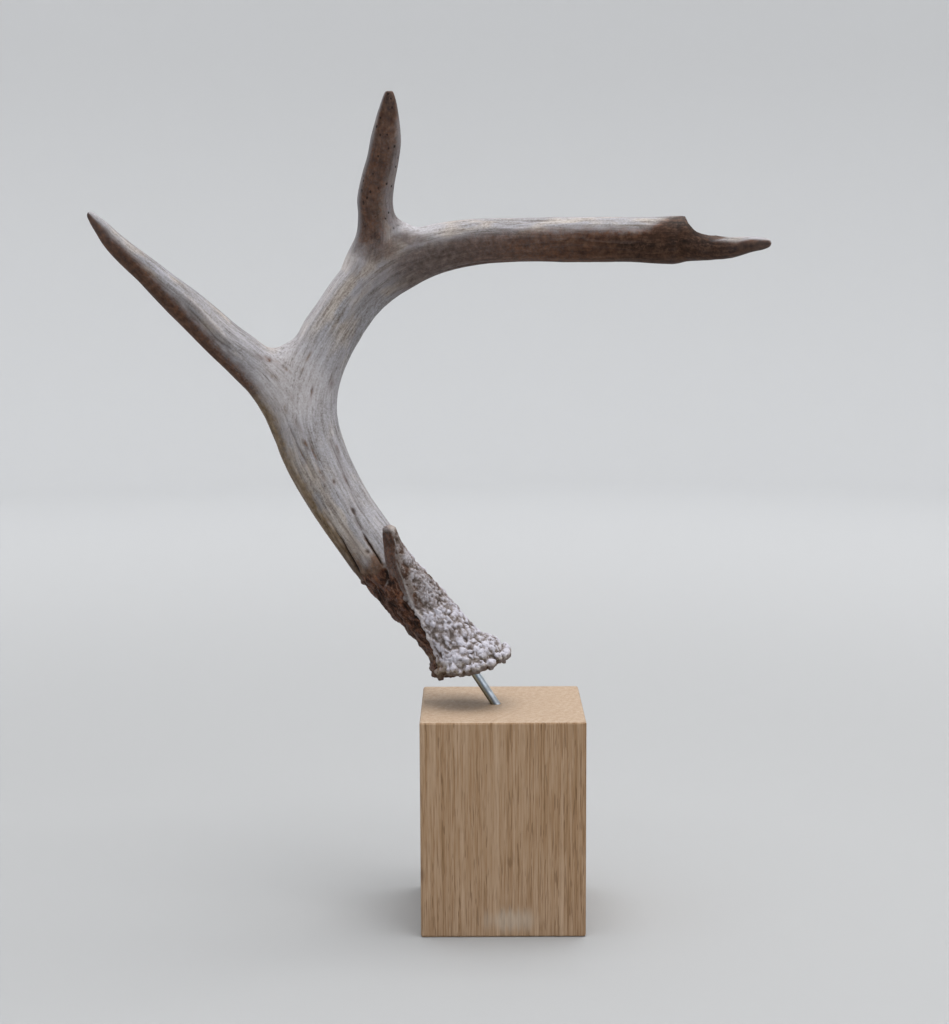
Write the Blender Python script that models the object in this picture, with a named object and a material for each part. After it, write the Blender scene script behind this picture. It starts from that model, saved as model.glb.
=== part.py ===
"""A shed deer antler held on an oak block by a steel rod.

+Z is up, +X runs towards the tip of the main beam, and +Y is away from the viewer. The origin is the middle
of the block's underside. The antler grew as one piece and is split at its two main forks. So it is made as
one fused form and then cut: the main beam (with its burr and brow tine), the back tine and the upright tine.
"""

import math
import random

import bmesh
import bpy
from mathutils import Matrix, Vector

MM = 0.001

# Driving dimensions
BLOCK_WIDTH = 75 * MM
BLOCK_HEIGHT = 100 * MM
BLOCK_EASED_EDGE = 1.0 * MM
ROD_DIAMETER = 4 * MM
ROD_LEAN = math.radians(33)  # from upright, towards -X
ROD_ENTRY = Vector((-3 * MM, 0, BLOCK_HEIGHT))  # where its axis crosses the block's top
ROD_IN_BLOCK = 26 * MM
ROD_IN_ANTLER = 24 * MM
ROD_FREE = 17 * MM  # between the block and the burr
BORE_OVERSHOOT = 6 * MM  # how far the bores' cutters stand above the block
FIT_GAP = 0.3 * MM  # between solids that meet

# The limbs of the antler, from root to tip. Each station is the middle of a cross-section, its width in the
# antler's own plane and its thickness across that plane: (x, y, z, width, thickness), in millimetres.
MAIN_BEAM = (
    (-16.8, 1, 121.5, 28, 28),
    (-23, 3, 128, 26.3, 26.5),
    (-32.2, 7, 138.5, 26, 26),
    (-42.9, 12, 149, 26.8, 26),
    (-53.5, 17, 160.5, 26.6, 26),
    (-62, 21, 172, 27.2, 26),
    (-71.5, 26, 184.5, 27.4, 26),
    (-80.3, 31, 198, 28.6, 26),
    (-88.2, 35, 213, 30.5, 26),
    (-93, 38, 228, 31.5, 25.5),
    (-93, 40, 242, 31, 25.5),
    (-89, 41, 255, 29, 25),
    (-82.4, 42, 268, 27.4, 24.5),
    (-74.2, 43, 280.5, 26.4, 23.5),
    (-67, 44, 290.2, 27, 23.5),
    (-57.2, 45, 298.6, 27, 24.5),
    (-46.6, 46, 305, 27.2, 24),
    (-35.6, 46, 309, 24.4, 22.5),
    (-23.5, 45, 312, 23, 22),
    (-9, 43, 314, 21.6, 21.5),
    (10, 40, 314.6, 20.6, 20.5),
    (28.5, 36, 314.6, 21.2, 20),
    (47, 31, 314.5, 21.2, 20),
    (61, 27, 314.5, 20.8, 19.5),
    (72, 23, 314.4, 20.8, 19),
    (81, 19, 314.6, 21.2, 18),
    (88, 16, 314.4, 20.8, 15.5),
    (94, 12, 311.7, 14, 12),
    (100.5, 9, 310.7, 10.8, 10),
    (107, 5, 310.9, 9.5, 9),
    (113, 1, 311.5, 8.2, 7.8),
    (118, -3, 312, 6.4, 6),
    (121.2, -5, 312.6, 3.8, 3.6),
)
BACK_TINE = (
    (-90, 37, 208, 22, 21),
    (-95.4, 38, 224, 25.5, 22),
    (-101.6, 38, 238.3, 25.6, 21.5),
    (-110, 37, 250, 24, 20.5),
    (-119, 35, 258.3, 21.5, 19.5),
    (-129, 32, 266.8, 19.3, 18),
    (-137.5, 29, 275.3, 18.3, 17),
    (-146, 25, 284, 17, 16),
    (-154.5, 21, 292, 14.8, 14),
    (-163, 17, 300.5, 12.6, 12),
    (-172, 12, 309, 10.8, 10.5),
    (-177.7, 9, 315, 9.3, 9),
    (-181.2, 6, 320, 7.5, 7.2),
    (-184.3, 4, 324, 5.5, 5.3),
    (-186.6, 2, 327.2, 3.2, 3),
)
UPRIGHT_TINE = (
    (-63.5, 44.3, 294.5, 27, 20),
    (-61, 44, 306, 25, 19.5),
    (-58.6, 44, 315, 20.4, 19),
    (-58.4, 42.5, 326, 18.2, 17.5),
    (-58.7, 40, 334, 17, 16),
    (-57, 37, 343, 16, 15),
    (-54.6, 34, 352, 15, 14),
    (-52.9, 30, 361, 14.3, 13),
    (-51.9, 27, 370, 11.5, 11),
    (-51.2, 24, 376.5, 8.6, 8.4),
    (-50.9, 22, 380.8, 6, 6),
    (-50.6, 21, 382.6, 4, 4),
)
BROW_TINE = (
    (-34, 6, 143, 22, 18),
    (-40, 4, 153, 19.5, 15.5),
    (-44.8, 2, 161, 15.8, 13),
    (-48.3, 0.5, 168.5, 12, 11),
    (-50.6, -0.8, 175.5, 9, 9),
    (-51.6, -1.6, 181, 7.2, 7.2),
    (-51.9, -2, 183.2, 5.4, 5.4),
)
# Webs that fill the crotches of the two forks, and a knob on the back of the beam:
# (x, y, z, half-length along x, y and z), in millimetres
WEBS = (
    (-99.5, 39.5, 258.5, 9.5, 9, 9.5),
    (-101, 38.5, 236, 8, 9, 13),
    (-47.5, 45, 316.5, 8.5, 9, 8),
)
BACK_KNOB = (-64.6, 18, 155, 2.3, 3.2, 2.4)
# The broken tine near the beam's tip: what was gnawed out of it, as one long ellipsoid
GNAWED_AT = (96, 14, 327)
GNAWED_HALF_SIZE = (10.4, 24, 10.4)

# Burr: the knobbly ring round the antler's foot
BURR_CENTRE = (-14.8, 0, 121.2)
BURR_TILT = math.radians(-12)  # about Y: its +X side stands higher
BURR_NOD = math.radians(5)  # about X: its front hangs lower
BURR_HALF_SIZE = (17.4, 16.2, 5.2)
BURR_FLARE_HALF_SIZE = (16.5, 15.5, 9)  # where the beam spreads into the burr
BURR_KNOBS = 27
BURR_KNOB_HALF_SIZE = (2.5, 2.3, 5)  # out, round and along the burr's axis
BURR_KNOB_SCALES = (0.85, 1.18)
BURR_KNOB_HEIGHTS = (-0.8, 1.2)
# Pearls: the beads that cover the front and right of the lowest part of the beam
PEARL_START = 8.0  # up the beam from its first station
PEARL_PITCH = 5.0  # along the beam and round it
PEARL_SCATTER = 0.8
PEARL_HALF_SIZE = (2.5, 2.0, 1.7)  # along the beam, round it and out
PEARL_SINK = 0.7
PEARL_SCALES = (0.8, 1.15)
PEARL_ROWS = 9
PEARL_LOSS_PER_ROW = 0.035  # each row up is smaller by this share
PEARL_ARC = (-112, 120)  # degrees round the beam from its +X side, with -90 at the front

# Long furrows in the front of the beam: (x, z) of both ends, half-width and depth, in millimetres
FURROWS = (
    (-76, 181, -65.5, 159.5, 1.4, 1.5),
    (-68, 190, -55.5, 166.5, 1.3, 1.6),
    (-91, 221, -79, 187.5, 1.6, 0.7),
    (-66.5, 216, -62, 189, 1.6, 0.6),
    (-80, 262, -58, 290, 1.8, 0.7),
    (-20, 309, 62, 309.5, 1.8, 0.7),
)

# Fineness of the fused form
RING_SIDES = 28
STATION_STEPS = 4
FORM_VOXEL = 1.1 * MM
RELIEF_VOXEL = 0.85 * MM
FORK_CENTRES = ((-100, 39, 254), (-56, 45, 312))
FORK_REACH = 24
FORK_SMOOTHING = 110
KEPT_FACES = 0.048  # share of the fine mesh's faces that the solids keep

# Cuts at the forks: a point on the plane, the way the tine leaves it, and the cutter's length and sides
BACK_TINE_CUT = (Vector((-112, 36.5, 254)), Vector((-0.77, -0.2, 0.61)), (125, 50, 44))
UPRIGHT_TINE_CUT = (Vector((-58.5, 43, 325)), Vector((0.03, -0.12, 0.99)), (80, 44, 60))


def clear_scene():
    for obj in list(bpy.data.objects):
        bpy.data.objects.remove(obj)


def material(name, colour, roughness, metallic=0.0):
    made = bpy.data.materials.new(name)
    made.use_nodes = True
    shader = made.node_tree.nodes["Principled BSDF"]
    shader.inputs["Base Color"].default_value = (*colour, 1)
    shader.inputs["Roughness"].default_value = roughness
    shader.inputs["Metallic"].default_value = metallic
    return made


def add_object(name, mesh, surface=None):
    obj = bpy.data.objects.new(name, mesh)
    bpy.context.scene.collection.objects.link(obj)
    if surface:
        mesh.materials.clear()
        mesh.materials.append(surface)
    return obj


def mesh_from(builder, name):
    mesh = bpy.data.meshes.new(name)
    builder.to_mesh(mesh)
    builder.free()
    return mesh


def add_cutter(name, mesh):
    cutter = add_object(name, mesh)
    cutter.hide_render = True
    cutter.display_type = "WIRE"
    return cutter


def cut_with(obj, cutter, operation="DIFFERENCE"):
    boolean = obj.modifiers.new(operation.lower() + "_" + cutter.name, "BOOLEAN")
    boolean.operation = operation
    boolean.solver = "EXACT"
    boolean.object = cutter


# ---------------------------------------------------------------- limbs


def between(a, b, c, d, t):
    """Catmull-Rom: the value a share t of the way from b to c."""
    return 0.5 * (2 * b + (c - a) * t + (2 * a - 5 * b + 4 * c - d) * t**2 + (3 * b - a - 3 * c + d) * t**3)


def smooth_stations(stations):
    """The stations with STATION_STEPS smooth steps from each to the next, as 5-vectors in millimetres."""
    rows = [Vector(s) for s in stations]
    rows = [2 * rows[0] - rows[1], *rows, 2 * rows[-1] - rows[-2]]
    made = []
    for i in range(1, len(rows) - 2):
        for step in range(STATION_STEPS):
            made.append(between(rows[i - 1], rows[i], rows[i + 1], rows[i + 2], step / STATION_STEPS))
    made.append(rows[-2])
    return made


def section_axes(line, i):
    """At point i: the way along the limb, across it in the antler's plane, and out of that plane."""
    along = (line[min(i + 1, len(line) - 1)] - line[max(i - 1, 0)]).normalized()
    wide = Vector((0, 1, 0)).cross(along).normalized()
    return along, wide, along.cross(wide)


def add_limb(builder, stations):
    """A closed tube through the stations, with an oval section and rounded ends."""
    rows = smooth_stations(stations)
    line = [Vector(row[:3]) for row in rows]
    rings = []
    for i, row in enumerate(rows):
        _, wide, thick = section_axes(line, i)
        ring = []
        for side in range(RING_SIDES):
            angle = 2 * math.pi * side / RING_SIDES
            out = wide * (math.cos(angle) * row[3] / 2) + thick * (math.sin(angle) * row[4] / 2)
            ring.append(builder.verts.new((line[i] + out) * MM))
        rings.append(ring)
    for low, high in zip(rings, rings[1:]):
        for side in range(RING_SIDES):
            after = (side + 1) % RING_SIDES
            builder.faces.new((low[side], low[after], high[after], high[side]))
    for ring, i, sign in ((rings[0], 0, -1), (rings[-1], len(rows) - 1, 1)):
        along = section_axes(line, i)[0]
        tip = builder.verts.new((line[i] + along * (sign * 0.3 * rows[i][4])) * MM)
        for side in range(RING_SIDES):
            after = (side + 1) % RING_SIDES
            corners = (ring[side], ring[after], tip)
            builder.faces.new(corners if sign > 0 else corners[::-1])


def add_bead(builder, centre, half_size, turn=None, fineness=2):
    """An ellipsoid, in millimetres, turned by a 3x3 matrix."""
    place = Matrix.Translation(Vector(centre) * MM)
    if turn:
        place = place @ turn.to_4x4()
    size = Matrix.Diagonal((*(Vector(half_size) * MM), 1))
    bmesh.ops.create_icosphere(builder, subdivisions=fineness, radius=1, matrix=place @ size)


def columns(first, second, third):
    """The turn that carries X, Y and Z to these three directions."""
    return Matrix((first, second, third)).transposed()


# ---------------------------------------------------------------- burr and pearls


def add_burr(builder):
    """The burr's disc, with knobs of uneven size all round its rim."""
    tilt = Matrix.Rotation(BURR_TILT, 3, "Y") @ Matrix.Rotation(BURR_NOD, 3, "X")
    centre = Vector(BURR_CENTRE)
    add_bead(builder, centre, BURR_HALF_SIZE, tilt, 4)
    add_bead(builder, centre + tilt @ Vector((-1.5, 0, 2.5)), BURR_FLARE_HALF_SIZE, tilt, 4)
    rng = random.Random(7)
    for k in range(BURR_KNOBS):
        angle = 2 * math.pi * (k + rng.uniform(-0.2, 0.2)) / BURR_KNOBS
        out = Vector((math.cos(angle), math.sin(angle), 0))
        rim = Vector((math.cos(angle) * BURR_HALF_SIZE[0], math.sin(angle) * BURR_HALF_SIZE[1], 0))
        rim.z = rng.uniform(*BURR_KNOB_HEIGHTS)
        half = Vector(BURR_KNOB_HALF_SIZE) * rng.uniform(*BURR_KNOB_SCALES)
        around = Vector((-out.y, out.x, 0))
        turn = tilt @ columns(out, around, Vector((0, 0, 1)))
        add_bead(builder, centre + tilt @ rim, half, turn)


def add_pearls(builder):
    """Staggered rows of low beads on the beam's foot, thinning out upwards."""
    rows = smooth_stations(MAIN_BEAM)
    line = [Vector(row[:3]) for row in rows]
    reach = [0.0]
    for a, b in zip(line, line[1:]):
        reach.append(reach[-1] + (b - a).length)
    rng = random.Random(11)
    for k in range(PEARL_ROWS):
        at = PEARL_START + k * PEARL_PITCH
        i = min(range(len(reach)), key=lambda n: abs(reach[n] - at))
        along, wide, thick = section_axes(line, i)
        radius = (rows[i][3] + rows[i][4]) / 4
        step = math.degrees(PEARL_PITCH / radius)
        low, high = PEARL_ARC
        for n in range(int((high - low) / step)):
            degrees = low + step * (n + 0.5 * (k % 2) + rng.uniform(-0.18, 0.18))
            angle = math.radians(degrees)
            out = (wide * math.cos(angle) + thick * math.sin(angle)).normalized()
            foot = wide * (math.cos(angle) * rows[i][3] / 2) + thick * (math.sin(angle) * rows[i][4] / 2)
            scale = rng.uniform(*PEARL_SCALES) * (1 - PEARL_LOSS_PER_ROW * k)
            slip = along * rng.uniform(-PEARL_SCATTER, PEARL_SCATTER)
            turn = columns(along, out.cross(along), out)
            middle = line[i] + foot - out * PEARL_SINK + slip
            add_bead(builder, middle, Vector(PEARL_HALF_SIZE) * scale, turn)


# ---------------------------------------------------------------- fused form


def baked(obj, name):
    """A new mesh of what the object's modifiers make of it. The object is removed."""
    graph = bpy.context.evaluated_depsgraph_get()
    mesh = bpy.data.meshes.new_from_object(obj.evaluated_get(graph))
    mesh.name = name
    bpy.data.objects.remove(obj)
    return mesh


def remeshed(mesh, voxel, name):
    """All the mesh's overlapping shells as one closed surface."""
    obj = add_object(name, mesh)
    remesh = obj.modifiers.new("fuse", "REMESH")
    remesh.mode = "VOXEL"
    remesh.voxel_size = voxel
    remesh.adaptivity = 0
    return baked(obj, name)


def with_soft_forks(mesh):
    """Smooths the form round the forks alone, so that the tines flow out of the beam."""
    obj = add_object("form", mesh)
    group = obj.vertex_groups.new(name="forks")
    for vertex in mesh.vertices:
        nearest = min((vertex.co / MM - Vector(c)).length for c in FORK_CENTRES)
        share = max(0.0, 1 - nearest / FORK_REACH)
        if share:
            group.add([vertex.index], min(1.0, 1.6 * share), "REPLACE")
    smooth = obj.modifiers.new("soften", "SMOOTH")
    smooth.factor = 0.5
    smooth.iterations = FORK_SMOOTHING
    smooth.vertex_group = group.name
    return baked(obj, "form")


def furrow_depth(at, furrow):
    """How far a furrow presses in the front of the beam at this point, in millimetres."""
    start, end = Vector(furrow[0:2]), Vector(furrow[2:4])
    half_width, depth = furrow[4:]
    run = end - start
    share = (at.xz - start).dot(run) / run.length_squared
    if not 0 < share < 1:
        return 0.0
    off = (at.xz - start - run * share).length / half_width
    return depth * math.exp(-off * off) * min(1.0, 6 * share, 6 * (1 - share))


def press_furrows(mesh):
    moved = []
    for vertex in mesh.vertices:
        depth = sum(furrow_depth(vertex.co / MM, furrow) for furrow in FURROWS)
        facing = max(0.0, -vertex.normal.y)
        moved.append(vertex.co - vertex.normal * (depth * facing * MM))
    for vertex, place in zip(mesh.vertices, moved):
        vertex.co = place


def antler_mesh():
    """The whole antler as one faceted mesh, before it is split."""
    limbs = bmesh.new()
    for stations in (MAIN_BEAM, BACK_TINE, UPRIGHT_TINE, BROW_TINE):
        add_limb(limbs, stations)
    for web in WEBS:
        add_bead(limbs, web[:3], web[3:], fineness=3)
    form = with_soft_forks(remeshed(mesh_from(limbs, "limbs"), FORM_VOXEL, "limbs"))
    press_furrows(form)
    relief = bmesh.new()
    relief.from_mesh(form)
    add_burr(relief)
    add_pearls(relief)
    add_bead(relief, BACK_KNOB[:3], BACK_KNOB[3:])
    fine = remeshed(mesh_from(relief, "relief"), RELIEF_VOXEL, "relief")
    obj = add_object("faceted", fine)
    settle = obj.modifiers.new("settle", "SMOOTH")
    settle.factor = 0.5
    settle.iterations = 2
    fewer = obj.modifiers.new("fewer faces", "DECIMATE")
    fewer.ratio = KEPT_FACES
    mesh = baked(obj, "antler")
    mesh.shade_smooth()
    return mesh


# ---------------------------------------------------------------- cutters


def rod_axis():
    return Vector((-math.sin(ROD_LEAN), 0, math.cos(ROD_LEAN)))


def cylinder_mesh(name, radius, start, end, sides=24):
    """A capped cylinder from start to end, in metres."""
    builder = bmesh.new()
    axis = end - start
    turn = Vector((0, 0, 1)).rotation_difference(axis).to_matrix().to_4x4()
    place = Matrix.Translation((start + end) / 2) @ turn
    bmesh.ops.create_cone(
        builder,
        cap_ends=True,
        segments=sides,
        radius1=radius,
        radius2=radius,
        depth=axis.length,
        matrix=place,
    )
    return mesh_from(builder, name)


def tine_box(name, cut, grown):
    """A box from the cut plane over the whole tine, grown on every side by the given millimetres."""
    point, along, (length, wide, thick) = cut
    along = along.normalized()
    across = Vector((0, 1, 0)).cross(along).normalized()
    turn = columns(along, across, along.cross(across)).to_4x4()
    place = Matrix.Translation((point + along * length / 2) * MM) @ turn
    size = Matrix.Diagonal((*(Vector((length, wide, thick)) + Vector((2, 2, 2)) * grown) * MM, 1))
    builder = bmesh.new()
    bmesh.ops.create_cube(builder, size=1, matrix=place @ size)
    return add_cutter(name, mesh_from(builder, name))


def gnawed_cutter():
    builder = bmesh.new()
    add_bead(builder, GNAWED_AT, GNAWED_HALF_SIZE, fineness=4)
    return add_cutter("gnawed", mesh_from(builder, "gnawed"))


def bore_cutter(name, start, end):
    return add_cutter(name, cylinder_mesh(name, ROD_DIAMETER / 2 + FIT_GAP, start, end))


# ---------------------------------------------------------------- pieces


def make_block(surface):
    """An oak block with eased edges, drilled aslant for the rod."""
    builder = bmesh.new()
    place = Matrix.Translation((0, 0, BLOCK_HEIGHT / 2))
    size = Matrix.Diagonal((BLOCK_WIDTH, BLOCK_WIDTH, BLOCK_HEIGHT, 1))
    bmesh.ops.create_cube(builder, size=1, matrix=place @ size)
    block = add_object("oak_block", mesh_from(builder, "oak_block"), surface)
    bevel = block.modifiers.new("eased edges", "BEVEL")
    bevel.width = BLOCK_EASED_EDGE
    bevel.segments = 2
    above = ROD_ENTRY + rod_axis() * BORE_OVERSHOOT
    floor = ROD_ENTRY - rod_axis() * (ROD_IN_BLOCK + FIT_GAP)
    cut_with(block, bore_cutter("block_bore", floor, above))
    return block


def make_rod(surface):
    """A steel rod from the bottom of the block's bore to the top of the antler's."""
    low = ROD_ENTRY - rod_axis() * ROD_IN_BLOCK
    high = ROD_ENTRY + rod_axis() * (ROD_FREE + ROD_IN_ANTLER)
    rod = add_object("steel_rod", cylinder_mesh("steel_rod", ROD_DIAMETER / 2, low, high), surface)
    rod.data.shade_smooth()
    rod.data.set_sharp_from_angle(angle=math.radians(40))
    return rod


def make_antler(surface):
    """The three pieces of the antler, each cut from the same fused mesh."""
    mesh = antler_mesh()
    below_burr = ROD_ENTRY + rod_axis() * BORE_OVERSHOOT
    bore_end = ROD_ENTRY + rod_axis() * (ROD_FREE + ROD_IN_ANTLER + FIT_GAP)
    bore = bore_cutter("antler_bore", below_burr, bore_end)
    beam = add_object("main_beam", mesh, surface)
    cut_with(beam, gnawed_cutter())
    cut_with(beam, bore)
    pieces = [beam]
    for name, cut in (("back_tine", BACK_TINE_CUT), ("upright_tine", UPRIGHT_TINE_CUT)):
        tine = add_object(name, mesh)
        cut_with(tine, tine_box(name + "_keeps", cut, 0), "INTERSECT")
        cut_with(beam, tine_box(name + "_leaves", cut, FIT_GAP / MM))
        pieces.append(tine)
    return pieces


def main():
    clear_scene()
    bone = material("antler", (0.42, 0.36, 0.32), 0.7)
    oak = material("oak", (0.52, 0.36, 0.22), 0.6)
    steel = material("steel", (0.55, 0.58, 0.6), 0.3, 1.0)
    antler = bpy.data.objects.new("antler", None)
    bpy.context.scene.collection.objects.link(antler)
    make_block(oak)
    make_rod(steel)
    for piece in make_antler(bone):
        piece.parent = antler


main()
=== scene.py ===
"""The looks of a shed deer antler on its oak block.

The antler is one fine skin in place of its three solids. It is grown from nearly the same stations, fused,
and then carved in arrays: pearls, furrows, grain, pits and the rough bare bone at its foot. The skin keeps
where on a limb each of its points lies, and the bone's material draws its grain and colours from that.

Lengths are in millimetres in the tables and arrays, and in metres on objects. Angles round a limb are
degrees: 0 is the side towards the crook, -90 the front, 90 the back and 180 the outer side.
"""

from functools import partialmethod
from types import SimpleNamespace
import itertools
import math

import bmesh
import bpy
import numpy as np
from mathutils import Matrix, Vector, kdtree


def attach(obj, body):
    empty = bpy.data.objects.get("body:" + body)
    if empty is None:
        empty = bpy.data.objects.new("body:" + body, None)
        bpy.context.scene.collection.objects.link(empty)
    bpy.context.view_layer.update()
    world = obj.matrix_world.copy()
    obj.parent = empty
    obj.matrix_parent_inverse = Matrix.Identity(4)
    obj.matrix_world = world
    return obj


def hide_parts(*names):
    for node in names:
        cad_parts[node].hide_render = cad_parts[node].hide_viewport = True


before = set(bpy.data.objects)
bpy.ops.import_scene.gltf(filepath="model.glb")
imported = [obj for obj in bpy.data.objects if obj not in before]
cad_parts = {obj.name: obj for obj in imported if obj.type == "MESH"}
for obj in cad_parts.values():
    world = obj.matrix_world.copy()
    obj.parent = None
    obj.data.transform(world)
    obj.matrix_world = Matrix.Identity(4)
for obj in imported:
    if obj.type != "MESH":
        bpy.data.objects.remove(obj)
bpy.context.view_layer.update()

MM = 0.001

# ---- the antler's form

# (x, y, z, width in the antler's own plane, thickness across that plane)
MAIN_BEAM = (
    (-16.8, 1, 121.5, 28, 28),
    (-23, 3, 128, 26.3, 26.5),
    (-32.2, 7, 138.5, 26, 26),
    (-42.9, 12, 149, 26.8, 26),
    (-53.5, 17, 160.5, 26.6, 26),
    (-62, 21, 172, 27.2, 26),
    (-71.5, 26, 184.5, 27.4, 26),
    (-80.3, 31, 198, 28.6, 26),
    (-88.2, 35, 213, 30.5, 26),
    (-93, 38, 228, 31.5, 25.5),
    (-93, 40, 242, 31, 25.5),
    (-89, 41, 255, 29, 25),
    (-82.4, 42, 268, 27.4, 24.5),
    (-74.2, 43, 280.5, 26.4, 23.5),
    (-67, 44, 290.2, 27, 23.5),
    (-57.2, 45, 298.6, 27, 24.5),
    (-46.6, 46, 305, 27.2, 24),
    (-35.6, 46, 309, 24.4, 22.5),
    (-23.5, 45, 312, 23, 22),
    (-9, 43, 314, 21.6, 21.5),
    (10, 40, 314.6, 20.6, 20.5),
    (28.5, 36, 314.6, 21.2, 20),
    (47, 31, 314.5, 21.2, 20),
    (61, 27, 314.5, 20.8, 19.5),
    (72, 23, 314.1, 21.6, 19),
    (81, 19, 314.1, 22.4, 18),
    (85.5, 17.3, 313.8, 21.6, 16.5),
    (90, 14.5, 311.9, 17, 14),
    (95, 11.6, 310.6, 13.4, 12),
    (100.5, 9, 310.2, 11.4, 10),
    (107, 5, 310.9, 9.2, 9),
    (113, 1, 312, 7.4, 7.4),
    (118, -3, 312.3, 5.8, 5.8),
    (121.2, -5, 312.6, 3.8, 3.6),
)
BACK_TINE = (
    (-90, 37, 208, 22, 21),
    (-95.4, 38, 224, 25.5, 22),
    (-101.6, 38, 238.3, 25.6, 21.5),
    (-110, 37, 250, 24, 20.5),
    (-119, 35, 258.3, 21.5, 19.5),
    (-129, 32, 266.8, 19.3, 18),
    (-137.5, 29, 275.3, 18.3, 17),
    (-146, 25, 284, 17, 16),
    (-154.5, 21, 292, 14.8, 14),
    (-163, 17, 300.5, 12.6, 12),
    (-172, 12, 309, 10.8, 10.5),
    (-177.7, 9, 315, 9.3, 9),
    (-181.2, 6, 320, 7.5, 7.2),
    (-184.3, 4, 324, 5.5, 5.3),
    (-186.6, 2, 327.2, 3.2, 3),
)
UPRIGHT_TINE = (
    (-63.5, 44.3, 294.5, 27, 20),
    (-61, 44, 306, 25, 19.5),
    (-58.6, 44, 315, 20.4, 19),
    (-58.4, 42.5, 326, 18.2, 17.5),
    (-58.7, 40, 334, 17, 16),
    (-57, 37, 343, 16, 15),
    (-54.6, 34, 352, 15, 14),
    (-52.9, 30, 361, 14.3, 13),
    (-51.9, 27, 370, 11.1, 11),
    (-51.2, 24, 376.5, 7.9, 8),
    (-50.9, 22, 380.8, 5.2, 5.4),
    (-50.6, 21, 382.6, 3.4, 3.6),
)
BROW_TINE = (
    (-34, 6, 143, 22, 18),
    (-40, 4, 153, 19.5, 15.5),
    (-44.8, 2, 161, 15.8, 13),
    (-48.3, 0.5, 168.5, 12, 11),
    (-50.6, -0.8, 175.5, 9, 9),
    (-51.6, -1.6, 181, 7.2, 7.2),
    (-51.9, -2, 183.2, 5.4, 5.4),
)
LIMBS = (MAIN_BEAM, BACK_TINE, UPRIGHT_TINE, BROW_TINE)
# (x, y, z, half-length along x, y and z)
WEBS = (
    (-99.5, 39.5, 258.5, 9.5, 9, 9.5),
    (-101, 38.5, 236, 8, 9, 13),
    (-47.5, 45, 316.5, 8.5, 9, 8),
)
BACK_KNOB = (-64.6, 18, 155, 2.3, 3.2, 2.4)
GNAWED_AT = (96.5, 14, 326.5)
GNAWED_HALF_SIZE = (11.5, 60, 10.5)
SCAR_FOOT = (93, 13, 301)
UPRIGHT_TOP = 382.2
# Three points of the flat broken face on the brow tine's left: its ridge's top and foot, and one further left
BROW_FACE = ((-50.8, -4.5, 182.6), (-44.7, -2.5, 151), (-54.8, 0.5, 175))
# The right edge of that face's brown, as x at heights z
BROW_BROWN_EDGE = (
    (150, -43), (157.7, -45.2), (162.8, -48), (167.7, -50.2), (172.6, -49.3), (177.6, -50.1), (182.8, -50.8),
)

BURR_CENTRE = (-14.8, 0, 121.2)
BURR_TILT = math.radians(-12)
BURR_NOD = math.radians(5)
BURR_HALF_SIZE = (17.4, 16.2, 5.2)
BURR_FLARE_HALF_SIZE = (16.9, 15.5, 9.4)
BURR_FLARE_OFFSET = (-0.8, 0, 2.7)
BURR_KNOBS = 37
BURR_KNOB_HALF_SIZE = (2.3, 1.6, 2.6)
BURR_KNOB_SCALES = (0.8, 1.2)
BURR_KNOB_HEIGHTS = (-1.2, 0.9)
# (x, y, z, half-size) of the dark lumps at the burr's left
BURR_LUMPS = ((-31.4, -3, 119.6, 2), (-31.2, -3, 114.9, 2.1), (-28.2, -4, 113.3, 1.8), (-28.4, -5, 123, 1.9))

ROD_DIAMETER = 4
ROD_LEAN = math.radians(33)
ROD_ENTRY = (-3, 0, 100)
ROD_FREE = 17
ROD_IN_ANTLER = 24
FIT_GAP = 0.3
BORE_OVERSHOOT = 11

RING_SIDES = 40
STATION_STEPS = 4
LOCATE_STEPS = 8
FORM_VOXEL = 0.9
SKIN_VOXEL = 0.5
MOST_TRIANGLES = 190000
# What is smoothed before the relief: its middles, how far round them, and the rounds of smoothing
SOFT_FORKS = (((-100, 39, 254), (-56, 45, 312)), 24, 160)
SOFT_SCAR_FOOT = ((SCAR_FOOT,), 15, 60)
SKIN_SMOOTHING = 3
RELIEF_SMOOTHING = 14
BORE_SIDES = 32
SHARP_ANGLE = math.radians(70)

STUDIO_RADIUS = 1.7
STUDIO_CURVE = 0.6
STUDIO_CURVE_STEPS = 16
STUDIO_HEIGHT = 2.6
STUDIO_SIDES = 96
FLOOR_COLOUR = "a0a0a0"
WALL_COLOUR = "d2d2d2"
SKY_COLOUR = (0.93, 0.96, 1, 1)
SKY_STRENGTH = 1.2
LIGHTS_AIM = (0, 0, 0.2)
CAMERA_LENS = 70
CAMERA_PLACE = (-12.4, -910, 310)
CAMERA_DIP = math.radians(7.5)
CAMERA_ROLL = math.radians(-0.23)

# ---- where the antler's marks are

# Each table pairs how far along its limb with an angle, or with a share.
FOOT_RADIUS = 13
FOOT_EDGE = ((0, -138), (9, -131), (25, -103), (37, -93), (48, -85), (58, -79))
BARE_BACK_EDGE = ((0, 140), (30, 152), (60, 168))
BARE_UP_TO = 60
OUTER_BROWN = ((50, 122), (66, 122), (78, 126), (100, 128), (120, 127), (150, 125))
OUTER_BROWN_DEPTH = (
    (50, 1), (80, 1), (105, 0.95), (118, 0.85), (127, 0.75), (137, 0.95), (150, 0.95), (160, 0.4),
    (170, 0),
)
INNER_BROWN = (
    (150, 40), (180, 60), (205, 106), (222, 110), (240, 114), (254, 109), (283, 114), (331, 118),
    (349, 112), (356, 124), (363, 150), (370, 182), (379, 182), (384, 128), (400, 122), (412, 135),
)
INNER_BROWN_DEPTH = (
    (150, 0), (180, 0.12), (205, 0.32), (220, 0.46), (232, 0.68), (245, 0.76), (300, 0.75), (330, 0.88),
    (350, 1),
)
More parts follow.
